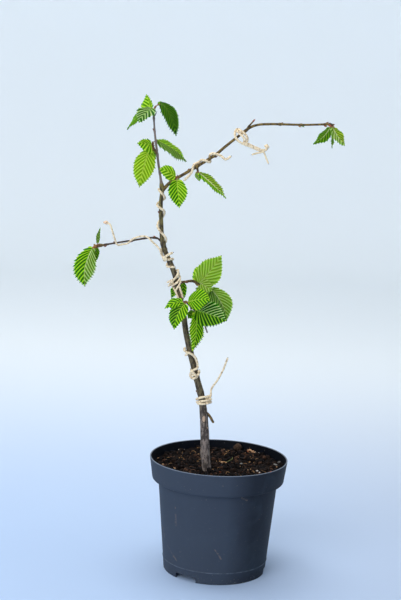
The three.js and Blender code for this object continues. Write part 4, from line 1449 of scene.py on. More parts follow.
    def scar(self, limb: Limb, value: float, turn: float, length: float, width: float) -> bmesh.types.BMesh:
        """An oval scar with a raised lip, on a limb's bark.

        Args:
            limb: The limb.
            value: Where it is along the limb.
            turn: Its turn from the limb's front, in degrees.
            length: Half its length.
            width: Half its width.

        Returns:
            The shape.
        """
        points = []
        for i in range(self.scar_steps + 1):
            angle = math.tau * i / self.scar_steps
            aside = math.degrees(width * math.cos(angle) / limb.radii[4])
            points.append(limb.beside(value + length * math.sin(angle), turn + aside, -0.05))
        return tube(Curve(points), lambda _: self.scar_lip, sides=8, spacing=0.6, rounded=(False, False))

    def side_buds(self, piece: Piece, limb: Limb, rows: tuple[BudRow, ...]) -> None:
        """Set single buds beside a limb, pointing along it.

        Args:
            piece: The piece that takes them.
            limb: The limb.
            rows: The buds.
        """
        for value, turn, length, girth, finish in rows:
            _, along, _, _ = limb.directions(limb.fraction_at(value))
            way = (limb.beside(value, turn, 1) - limb.beside(value, turn, 0)) + along * 1.7
            piece.add(bud(limb.beside(value, turn, -0.4), way, length, girth), finish)


# Foliage


@dataclass(frozen=True)
class Leaf:
    """One leaf: where its stalk starts on the stem, its two ends, and how it is bent and coloured."""

    node: float
    base: Point
    tip: Point
    width: float
    face: Point
    bow: Point
    fold: float
    crest: float = 0.5
    tone: Tone = Tone.FRESH
    turned: bool = False
    halves: tuple[float, float] = (1.0, 1.0)
    cup: float = 1.5
    pleat: float = 1.0
    stalk: PlainSkin = STALK
    # How near the tip the blade is widest, the size of its teeth and the width of its midrib, as shares
    belly: float = 0.78
    bite: float = 1.0
    rib: float = 1.0
    # The tone of the half past the midrib, with painted light and shade for the way that half faces the lamps
    other: Tone | None = None


@dataclass(frozen=True)
class LeafMass:
    """One mass: a woody stem from its limb, with its leaves, bare twig, and the seed of its buds."""

    name: str
    limb: Limb
    seed: int
    buds: int
    stem: tuple[LimbPoint, ...]
    leaves: tuple[Leaf, ...]
    twig: tuple[LimbPoint, ...] = ()
    bracts: int = 3
    bract_size: float = 1.0


@dataclass(frozen=True)
class LeafCutter:
    """How hornbeam leaves are shaped: pleated between straight veins, with teeth of two sizes."""

    vein_gap: float = 3.3
    fewest_pairs: int = 6
    most_pairs: int = 11
    # Stations between two veins as shares of the gap, and how far the margin stands out at each
    marks: tuple[float, ...] = (0.0, 0.13, 0.34, 0.5, 0.66, 0.87)
    teeth: tuple[float, ...] = (1.0, -0.45, -0.1, 0.5, -0.35, 0.5)
    # Columns from the midrib to the margin as shares of the half width
    columns: tuple[float, ...] = (0.05, 0.17, 0.33, 0.5, 0.67, 0.84, 1.0)
    thickness: float = 0.34
    keel: float = 0.5
    channel: float = 0.3
    # How far a vein runs forward for each step aside, and how close the lowest veins leave the midrib
    sweep: float = 1.3
    crowding: float = 0.3
    bend: float = 0.12
    lobe: float = 0.035
    pleat_depth: float = 0.27
    wave: float = 0.7
    roundness: float = 0.72
    sharpness: float = 1.15
    narrowing: float = 0.12
    stalk_radius: float = 0.5
    vein_curve: float = 1.06
    # The width of the blade that has teeth of the sizes above, and how far a tooth leans to the tip
    usual_width: float = 20.0
    tooth_lean: float = 0.55
    # How sharply the upper side curves down to the margin, and how far the margin's wave turns over the blade
    margin_curve: int = 6
    wave_turn: float = 13.0
    # Where the blade's own direction is read, before and after a place
    stride: float = 0.01
    halvings: int = 14

    def spine(self, leaf: Leaf, u: float) -> Vector:
        """A point on the midrib at u."""
        arch = max(u, 0.0) ** (math.log(0.5) / math.log(leaf.crest))
        return Vector(leaf.base).lerp(Vector(leaf.tip), u) + Vector(leaf.bow) * 4 * arch * (1 - arch)

    def half_width(self, leaf: Leaf, u: float) -> float:
        """Half the blade's width at u, before its teeth."""
        outline = max(math.sin(math.pi * u**leaf.belly), 0.0)
        drawn = outline ** mix(self.roundness, self.sharpness, smooth(0.5, 1.0, u))
        return leaf.width / 2 * drawn * (1 - self.narrowing * u)

    def blade(self, leaf: Leaf, piece: Piece, draw: Iterator[float]) -> bmesh.types.BMesh:
        """Cut, pleat and bend one blade.

        Args:
            leaf: The leaf.
            piece: The piece that will take it, which numbers the finishes.
            draw: The mass's random numbers.

        Returns:
            The shape, with its finishes dealt out.
        """
        length = (Vector(leaf.tip) - Vector(leaf.base)).length
        pairs = min(max(round(length / self.vein_gap), self.fewest_pairs), self.most_pairs)
        rows = pairs * len(self.marks)
        columns = 2 * len(self.columns)
        swell = [mix(0.7, 1.3, next(draw)) for _ in range(9)]
        phase = math.tau * swell[0] * 3
        margins = [
            self.margin(leaf, min((pair + mark) / pairs, 1.0), length)
            for pair in range(pairs) for mark in self.marks
        ] + [1.0]
        # The half past the midrib may wear another tone, as painted light and shade
        halves = leaf.other or leaf.tone, leaf.tone
        bm = bmesh.new()
        for upper in (True, False):
            skins = [half.above if upper != leaf.turned else half.below for half in halves]
            numbers = [[piece.index(skin) for skin in half] for half in skins]
            grid = bmesh.ops.create_grid(bm, x_segments=rows, y_segments=columns, size=0.5)["verts"]
            faces = {face for vert in grid for face in vert.link_faces}
            for face in faces:
                centre = face.calc_center_median()
                row = int((centre.x + 0.5) * rows)
                column = int((centre.y + 0.5) * columns)
                face.material_index = numbers[column >= columns // 2][self.strip(row, column, columns)]
            if not upper:
                bmesh.ops.reverse_faces(bm, faces=list(faces))
            for vert in grid:
                row = round((vert.co.x + 0.5) * rows)
                column = round((vert.co.y + 0.5) * columns)
                vert.co = self.place(leaf, row, column, margins, length, upper, swell, phase)
        bmesh.ops.remove_doubles(bm, verts=bm.verts, dist=0.02)
        bmesh.ops.dissolve_degenerate(bm, edges=bm.edges, dist=0.005)
        return bm

    def strip(self, row: int, column: int, columns: int) -> int:
        """Which finish a face wears.

        Args:
            row: Its row along the blade.
            column: Its column across the blade.
            columns: How many columns the blade has.

        Returns:
            0 for the blade, 1 for a pleat's crest with its painted highlight, 2 for the valley between pleats
            with its painted shade, and 3 for the midrib.
        """
        step = row % len(self.marks)
        if column in (columns // 2 - 1, columns // 2):
            return 3
        # Painted shade in the valleys between pleats
        if step in (0, len(self.marks) - 1):
            return 2
        # Painted highlight on the pleat crests
        return int(step in (2, 3))

    def root(self, leaf: Leaf, margin: float, length: float) -> float:
        """Where the vein that meets the margin at a place leaves the midrib.

        Args:
            leaf: The leaf.
            margin: The place along the blade where the vein meets the margin.
            length: The blade's length.

        Returns:
            The place along the midrib.
        """
        straight = margin - self.sweep * self.half_width(leaf, margin) / length
        least = self.crowding * margin
        gap = straight - least
        return min(least + (gap + math.hypot(gap, self.bend * margin)) / 2, margin)

    def margin(self, leaf: Leaf, share: float, length: float) -> float:
        """Where a vein meets the margin, with all the veins evenly spread over the blade.

        Args:
            leaf: The leaf.
            share: The vein's share of the way from the first to the last.
            length: The blade's length.

        Returns:
            The place along the blade.
        """
        return halve(lambda u: (u + self.root(leaf, u, length)) / 2 < share, self.halvings)

    def place(
        self, leaf: Leaf, row: int, column: int, margins: list[float], length: float, upper: bool,
        swell: list[float], phase: float,
    ) -> Vector:
        """Where one corner of the blade lies.

        Args:
            leaf: The leaf.
            row: The station along the midrib.
            column: The station across the blade.
            margins: Where each station's vein meets the margin.
            length: The blade's length.
            upper: Whether it is on the upper side.
            swell: The teeth's own sizes along the blade.
            phase: Where the margin's wave starts.

        Returns:
            The place.
        """
        half = len(self.columns)
        side = (column > half) - (column < half)
        share = self.columns[abs(column - half) - 1] if side else 0.0
        if abs(column - half) == 1:
            share *= leaf.rib
        step = row % len(self.marks)
        pairs = len(margins) // len(self.marks)
        margin = margins[row]
        root = self.root(leaf, margin, length)
        side_share = leaf.halves[0] if side > 0 else leaf.halves[1]
        lobe = self.lobe * smooth(0.0, 0.05, margin) * (1 - smooth(0.05, 0.2, margin))
        along = root + (margin - lobe - root) * share**self.vein_curve
        lateral = self.half_width(leaf, margin) * side_share * share
        if share == 1.0:
            size = mix(swell[int(margin * 8)], 1.0, 0.4) * smooth(0.02, 0.1, margin) * leaf.bite
            fading = 1 - 0.6 * smooth(0.88, 1.0, margin)
            tooth = self.teeth[step] * size * fading * leaf.width / self.usual_width
            lateral = max(0.0, lateral + tooth)
            along += max(tooth, 0.0) * self.tooth_lean / length
        along = min(along, 1.0)
        behind = self.spine(leaf, max(along - self.stride, 0.0))
        ahead = self.spine(leaf, min(along + self.stride, 1.0))
        tangent = (ahead - behind).normalized()
        upward = Vector(leaf.face)
        upward = (upward - tangent * upward.dot(tangent)).normalized()
        sideways = upward.cross(tangent)
        ends = smooth(0.0, 0.06, margin) * (1 - smooth(0.94, 1.0, margin))
        crest = 1 - abs(2 * self.marks[step] - 1)
        depth = self.pleat_depth * length / pairs * leaf.pleat
        rise = depth * (crest - 0.5) * smooth(0.0, 0.25, share) * ends
        rise += math.sin(math.radians(leaf.fold)) * lateral
        rise -= leaf.cup * share**2
        rise += self.wave * share**3 * math.sin(phase + side + margin * self.wave_turn) * ends
        if not side:
            rise -= self.channel * ends
        if not upper:
            rise -= self.thickness * (1 - share**self.margin_curve) * ends
            if not side:
                rise -= self.keel * (1 - 0.8 * margin) * ends
        spread = lateral * math.cos(math.radians(leaf.fold))
        return self.spine(leaf, along) + sideways * side * spread + upward * rise

    def stalk(self, leaf: Leaf, stem: Limb) -> bmesh.types.BMesh:
        """The leaf's stalk, from the stem into the keel of the blade.

        Args:
            leaf: The leaf.
            stem: The stem that carries it.

        Returns:
            The shape.
        """
        root = stem.curve.point(leaf.node)
        base = Vector(leaf.base)
        sag = Vector((0, 0, -0.5))
        rib = self.spine(leaf, 0.06)
        curve = Curve([root, root.lerp(base, 0.5) + sag, base, rib])
        return tube(curve, lambda t: self.stalk_radius * mix(1.25, 0.75, t), sides=10, spacing=0.6)


@dataclass(frozen=True)
class BudRule:
    """How buds stand off a stem: each is turned on from the last, and one that touches is skipped."""

    turn: float = 137.5
    rake: float = 0.8
    shortest: float = 3.0
    longest: float = 5.0
    waist: float = 1.0
    tip: float = 0.35
    clearance: float = 0.3

    def buds(self, stem: Limb, mass: LeafMass, draw: Iterator[float]) -> list[bmesh.types.BMesh]:
        """Set the buds of one stem.

        Args:
            stem: The stem.
            mass: Its mass.
            draw: The mass's random numbers.

        Returns:
            The buds' shapes.
        """
        result = []
        for i in range(mass.buds):
            centre, along, front, side = stem.directions((i + 0.4 + 0.4 * next(draw)) / mass.buds)
            angle = math.radians(self.turn * i + 360 * next(draw))
            length = mix(self.shortest, self.longest, next(draw))
            way = (along * self.rake + front * math.cos(angle) + side * math.sin(angle)).normalized()
            middle = mass.limb.clear_of(centre + way * length / 2) > self.waist + self.clearance
            end = mass.limb.clear_of(centre + way * length) > self.tip + self.clearance
            if middle and end:
                result.append(bud(centre, way, length, self.waist))
        return result


@dataclass(frozen=True)
class Foliage:
    """Everything that grows on the limbs: stems, stalks, buds, bracts and leaves."""

    cutter: LeafCutter = LeafCutter()
    rule: BudRule = BudRule()
    stem_sides: int = 16
    # How far a stem's foot sits inside its limb's bark
    sunk: float = 1.6
    leaf_sharp_angle: float = 150.0
    # The bracts: where on the stem they start, over what share, their lean, length, width and outward curl
    bracts_from: float = 0.55
    bracts_over: float = 0.45
    bract_lean: tuple[float, float] = (0.2, 1.1)
    bract_length: tuple[float, float] = (2.2, 4.2)
    bract_width: float = 0.9
    bract_thickness: float = 0.22
    bract_curl: float = 0.9

    def build(self, mass: LeafMass) -> None:
        """Make one mass as a piece of leaves, one of twigs and one of buds.

        Args:
            mass: The mass.
        """
        node = f"foliage_{mass.name}"
        leaves = Piece(f"leaves_{mass.name}", "foliage", (node,))
        twigs = Piece(f"twigs_{mass.name}", "foliage", (node,))
        buds = Piece(f"buds_{mass.name}", "foliage", (node,))
        draw = seeded(mass.seed)
        stem = Limb(list(mass.stem))
        for shape in self.rule.buds(stem, mass, draw):
            buds.add(shape, BUD_BROWN)
        first, second = (Vector(point[:3]) for point in mass.stem[:2])
        sunk = first + (first - second).normalized() * self.sunk
        rooted = Limb([(*sunk, mass.stem[0][3]), *mass.stem])
        shoot = tube(rooted.curve, rooted.radius, self.stem_sides, spacing=0.5, relief=self.scarred(rooted))
        twigs.add(shoot, TWIG_BARK)
        if mass.twig:
            bare = Limb(list(mass.twig))
            twig = tube(bare.curve, bare.radius, sides=12, spacing=0.7, relief=self.scarred(bare))
            twigs.add(twig, LEADER_BARK)
        for leaf in mass.leaves:
            leaves.add(self.cutter.blade(leaf, leaves, draw))
            twigs.add(self.cutter.stalk(leaf, stem), leaf.stalk)
        for shape, finish in self.bracts(stem, mass, draw):
            buds.add(shape, finish)
        leaves.finish(self.leaf_sharp_angle)
        twigs.finish()
        buds.finish()

    def scarred(self, stem: Limb) -> Callable[[float, float], float]:
        """The ringed bark of a short shoot.

        Args:
            stem: The shoot.

        Returns:
            What the bark adds at a length and an angle.
        """
        girth = max(stem.radii)

        def relief(reached: float, angle: float) -> float:
            """Rings of old bud scars with a little roughness."""
            rough = noise.noise(Vector((math.cos(angle) * 1.6, math.sin(angle) * 1.6, reached / 1.4)))
            ringed = abs(math.sin(reached * 2.1 + rough))
            return girth * (0.1 * ringed + 0.09 * rough)

        return relief

    def bracts(
        self, stem: Limb, mass: LeafMass, draw: Iterator[float]
    ) -> list[tuple[bmesh.types.BMesh, PlainSkin]]:
        """Thin scales that opened with the leaves, round the stem's upper half.

        Args:
            stem: The stem.
            mass: Its mass.
            draw: The mass's random numbers.

        Returns:
            Each scale's shape and finish.
        """
        result = []
        for i in range(mass.bracts):
            place = self.bracts_from + self.bracts_over * (i + 0.5) / mass.bracts
            centre, along, front, side = stem.directions(place)
            angle = math.radians(self.rule.turn * i + 360 * next(draw))
            out = front * math.cos(angle) + side * math.sin(angle)
            way = (along * mix(*self.bract_lean, next(draw)) + out).normalized()
            length = mix(*self.bract_length, next(draw)) * mass.bract_size
            bm = bmesh.new()
            bmesh.ops.create_uvsphere(bm, u_segments=10, v_segments=8, radius=1)
            across = way.cross(along).normalized()
            up = across.cross(way)
            for vert in bm.verts:
                x, y, z = vert.co
                reach = (z + 1) / 2
                narrow = math.sin(math.pi * min(reach * 0.9 + 0.1, 1.0))
                wide = self.bract_width * mass.bract_size * (0.3 + 0.7 * narrow)
                vert.co = centre + way * length * reach + across * x * wide
                vert.co += up * (y * self.bract_thickness + self.bract_curl * reach * reach)
            bmesh.ops.recalc_face_normals(bm, faces=bm.faces)
            result.append((bm, (BRACT, BUD_RED, BRACT_GREEN)[i % 3]))
        return result


MASSES = (
    LeafMass(
        "top", TRUNK, 11, 2,
        ((-83.55, -7, 492.35, 1.0), (-83.2, -7, 496, 1.1), (-81.8, -7, 499.6, 0.9)),
        (
            Leaf(1.0, (-80, -7, 501), (-58.5, -14, 470), 20.5, (0.45, -0.72, 0.52), (4, 0, 5.4), 3, 0.33,
                 Tone.SHADE, halves=(1.0, 0.85), stalk=BUD_RED, bite=1.6, belly=0.9),
            Leaf(0.7, (-87, -8, 494.5), (-92, -4, 512), 17, (-0.35, -0.88, 0.3), (0.5, 0, 0.5), 10,
                 tone=Tone.FRESH, halves=(1.15, 0.45), cup=0.5, belly=0.5),
            Leaf(0.5, (-85.8, -9, 498), (-98.3, -22, 483), 24, (-0.42, -0.72, 0.55), (0, 0, 1), 12,
                 tone=Tone.HIGHLIT, bite=1.2),
            Leaf(0.3, (-88.5, -4, 495.5), (-111.5, 0, 474.5), 20, (-0.61, -0.36, 0.71), (-1.6, 0, 2), 5,
                 tone=Tone.DEEP),
            Leaf(0.5, (-86, 0, 495.5), (-96, 22, 487), 13, (-0.3, 0.3, 0.9), (0, 0, 3), 10),
        ),
    ),
    LeafMass(
        "second", TRUNK, 23, 1,
        (
            (-78.4, -9.3, 449.5, 0.9), (-81.2, -12, 455, 1.0), (-82.8, -12.5, 458.5, 1.2),
            (-83.2, -11.5, 462.5, 1.0),
        ),
        (
            Leaf(0.7, (-83.8, -13, 459.8), (-98.2, -27, 461.2), 21, (0.4, -0.85, 0.35), (0, -1, 1), 12,
                 tone=Tone.FRESH, halves=(1.15, 0.5), belly=0.6),
            Leaf(0.4, (-87, -14, 455), (-95.4, -22, 415.5), 23.5, (-0.15, -0.95, 0.2), (-0.5, -1, 0), 4,
                 tone=Tone.LIME, belly=0.84),
            Leaf(1.0, (-80, -5.5, 464.8), (-47.2, 6, 443.4), 25, (0.42, -0.45, 0.79), (1.2, 0, 2.4), 0,
                 tone=Tone.FRESH, other=Tone.DULL, bite=1.8, rib=0.8, belly=1.0),
            Leaf(0.7, (-85, -6, 456), (-93, 17, 429), 17, (-0.2, 0.8, 0.5), (0, 2, 1), 8),
        ),
    ),
    LeafMass(
        "fork", BOUGH_RIGHT, 37, 1,
        ((-57, -14, 426, 1.0), (-56.8, -16.5, 426.5, 1.3), (-56.6, -18.5, 426.4, 1.0)),
        (
            Leaf(0.8, (-57.5, -18, 428), (-74.6, -27, 436.8), 17, (0.25, -0.8, 0.45), (0, -1, 0.8), 5,
                 tone=Tone.FRESH, stalk=BUD_RED, bite=0.8),
            Leaf(1.0, (-56.5, -19.5, 425), (-52.5, -26, 396), 20.5, (0.1, -0.95, 0.25), (0, -1, 0), 4,
                 tone=Tone.FRESH, other=Tone.GRASS),
        ),
    ),
    LeafMass(
        "fork_back", BOUGH_RIGHT, 41, 1,
        ((-56, -14, 426.5, 0.9), (-56, -11, 426.5, 1.1), (-56, -9.5, 426, 0.9)),
        (Leaf(1.0, (-56, -8, 425), (-54.5, 12, 402), 15, (0, 0.9, 0.4), (0, 2, 1), 8),),
        bracts=1,
    ),
    LeafMass(
        "inner", BOUGH_RIGHT, 53, 1,
        ((-36, -14, 439.5, 1.0), (-35.5, -14.5, 436.5, 1.2), (-35, -15, 434.4, 1.0)),
        (
            Leaf(1.0, (-34.3, -15, 433.2), (-4, -19, 408), 17.5, (0.58, -0.52, 0.63), (0.5, 0, 0.5), 18,
                 tone=Tone.OLIVE, other=Tone.GRASS, bite=2.2, rib=2.2),
            Leaf(0.8, (-36, -12, 433.5), (-32.5, -9, 423.5), 7, (-0.2, -0.9, 0.3), (0, 0, 0), 14,
                 tone=Tone.PALE, cup=0.5),
        ),
    ),
    LeafMass(
        "right_tip", BOUGH_RIGHT, 67, 1,
        ((101.35, -5, 488.45, 1.1), (103.2, -5, 487.4, 1.5), (103.6, -5.3, 486, 1.2)),
        (
            Leaf(0.9, (101.3, -6.5, 485.8), (83.5, -14, 468), 14.5, (-0.5, -0.7, 0.5), (1.7, 0, -1.7), 6,
                 tone=Tone.RIBBED, rib=1.5),
            Leaf(1.0, (103.8, -6.5, 485.2), (117, -14, 467.5), 16, (0.45, -0.8, 0.4), (-0.8, 0, -0.6), 14,
                 tone=Tone.OLIVE, other=Tone.PALE),
            Leaf(1.0, (103.4, -3.5, 484), (105.5, 3, 463), 12, (0.97, 0.05, 0.2), (0, 0, 0), 10,
                 tone=Tone.DEEP, cup=0.5),
        ),
    ),
    LeafMass(
        "left_tip", BOUGH_LEFT, 71, 1,
        ((-131.85, -13.95, 352.95, 1.1), (-135.5, -13.6, 352.4, 2.0), (-139.5, -14, 351.6, 1.1)),
        (
            Leaf(1.0, (-142, -15, 350.6), (-149, -20, 309), 25, (0.05, -0.95, 0.2), (-4, -1, 0), 6,
                 tone=Tone.PALE, halves=(0.92, 1.0), other=Tone.GRASS, stalk=BUD_RED, bite=1.4, belly=1.0),
            Leaf(0.7, (-137.5, -13.4, 354.5), (-135, -10, 371.5), 4.4, (0.3, -0.9, 0.2), (-0.8, 0, 0.3), 15,
                 tone=Tone.DULL, cup=0.2, belly=0.6),
            Leaf(0.9, (-138, -13, 350), (-139.6, -12, 334.5), 7, (0.3, -0.9, 0.1), (0, 0, 0), 12,
                 tone=Tone.DEEP, cup=0.3),
            Leaf(0.7, (-139.5, -9.5, 349), (-155, 12, 319), 15, (-0.2, 0.9, 0.35), (0, 2, 1), 8),
        ),
        bracts=7, bract_size=1.7,
    ),
    LeafMass(
        "middle_back", TRUNK, 83, 2,
        (
            (-52, -13.5, 316, 1.1), (-43, -7, 317, 1.1), (-35.5, 1.5, 316.5, 1.4), (-26, 8, 311.5, 1.0),
            (-18, 11.5, 311, 0.9),
        ),
        (
            Leaf(0.55, (-31.2, 5, 311.6), (-5.6, 14, 344.2), 32, (0.15, -0.93, -0.3), (0.6, 0, -0.6), 6,
                 tone=Tone.SOFT, halves=(0.92, 1.0), turned=True, belly=0.84, bite=0.7, rib=0.8),
            Leaf(1.0, (-16.5, 12.5, 307.6), (2.9, 10, 273.9), 28, (0.35, -0.9, 0.2), (2.8, 0, 1.6), 8,
                 tone=Tone.SOFT, halves=(0.94, 1.0), other=Tone.DULL, belly=0.98, bite=0.8, rib=0.8),
            Leaf(0.55, (-29, 6.5, 315), (-14, 3, 306.5), 15, (0.1, -0.93, 0.3), (0, 0, 0), 8, tone=Tone.SOFT,
                 cup=0.6),
            Leaf(0.2, (-47.5, -4, 316.8), (-45, 0, 296), 9, (0.3, -0.9, 0.2), (0.5, 0, 0), 12,
                 tone=Tone.GRASS, cup=0.5),
            Leaf(0.2, (-53, -3.5, 312), (-58, -1.5, 297.5), 9, (-0.3, -0.9, 0.2), (0, 0, 0), 12,
                 tone=Tone.DEEP, cup=0.5),
            Leaf(0.55, (-32.5, 8.5, 316.5), (-16, 38, 333), 20, (-0.1, -0.4, 0.9), (0, 0, 3), 8),
            Leaf(0.75, (-28.5, 12.5, 309), (-11, 34, 285), 20, (0.3, 0.7, 0.6), (0, 2, 2), 8),
        ),
    ),
    LeafMass(
        "middle_front", TRUNK, 97, 2,
        (
            (-46.8, -15, 294.5, 1.1), (-44, -24, 297, 1.1), (-41.3, -31, 298.5, 1.3), (-37, -29.5, 294, 1.0),
            (-32, -27, 289.5, 1.2),
        ),
        (
            Leaf(0.5, (-40, -32.5, 299), (-17.5, -50, 305), 24, (-0.4, -0.8, 0.35), (0, -1, 1.5), 5,
                 tone=Tone.GRASS, bite=0.8, belly=0.95),
            Leaf(1.0, (-31.5, -28, 290.2), (1.5, -42, 282.5), 27, (0.25, -0.85, 0.35), (0, -1, 0.5), 8,
                 tone=Tone.HIGHLIT, halves=(1.08, 1.15), other=Tone.DEEP),
            Leaf(1.0, (-31.7, -28, 288), (-32.7, -35, 247), 19, (0.6, -0.78, 0.15), (2.4, 0, 0), 12,
                 tone=Tone.GRASS, other=Tone.FRESH, bite=2.1, rib=1.8, belly=0.86),
            Leaf(0.5, (-42.5, -34, 297.8), (-53.3, -48, 272), 21, (-0.35, -0.8, 0.35), (-2.4, 0, 1), 8,
                 tone=Tone.GRASS, other=Tone.DEEP, stalk=BUD_RED, bite=0.8),
            Leaf(0.4, (-45, -30, 298.6), (-64, -36, 291.5), 13, (-0.2, -0.7, 0.6), (0, 0, 2), 8,
                 tone=Tone.GRASS, cup=0.6),
            Leaf(1.0, (-33.5, -24.5, 288.6), (-39.5, -26, 280), 9, (-0.4, -0.8, 0.3), (0, 0, 0), 12,
                 tone=Tone.DEEP, cup=0.4),
        ),
        twig=(
            (-32, -27, 289.5, 0.9), (-27, -22.5, 283, 0.8), (-22, -20, 274.5, 0.8), (-18, -17.5, 264.2, 0.7),
        ),
    ),
)


# Ties


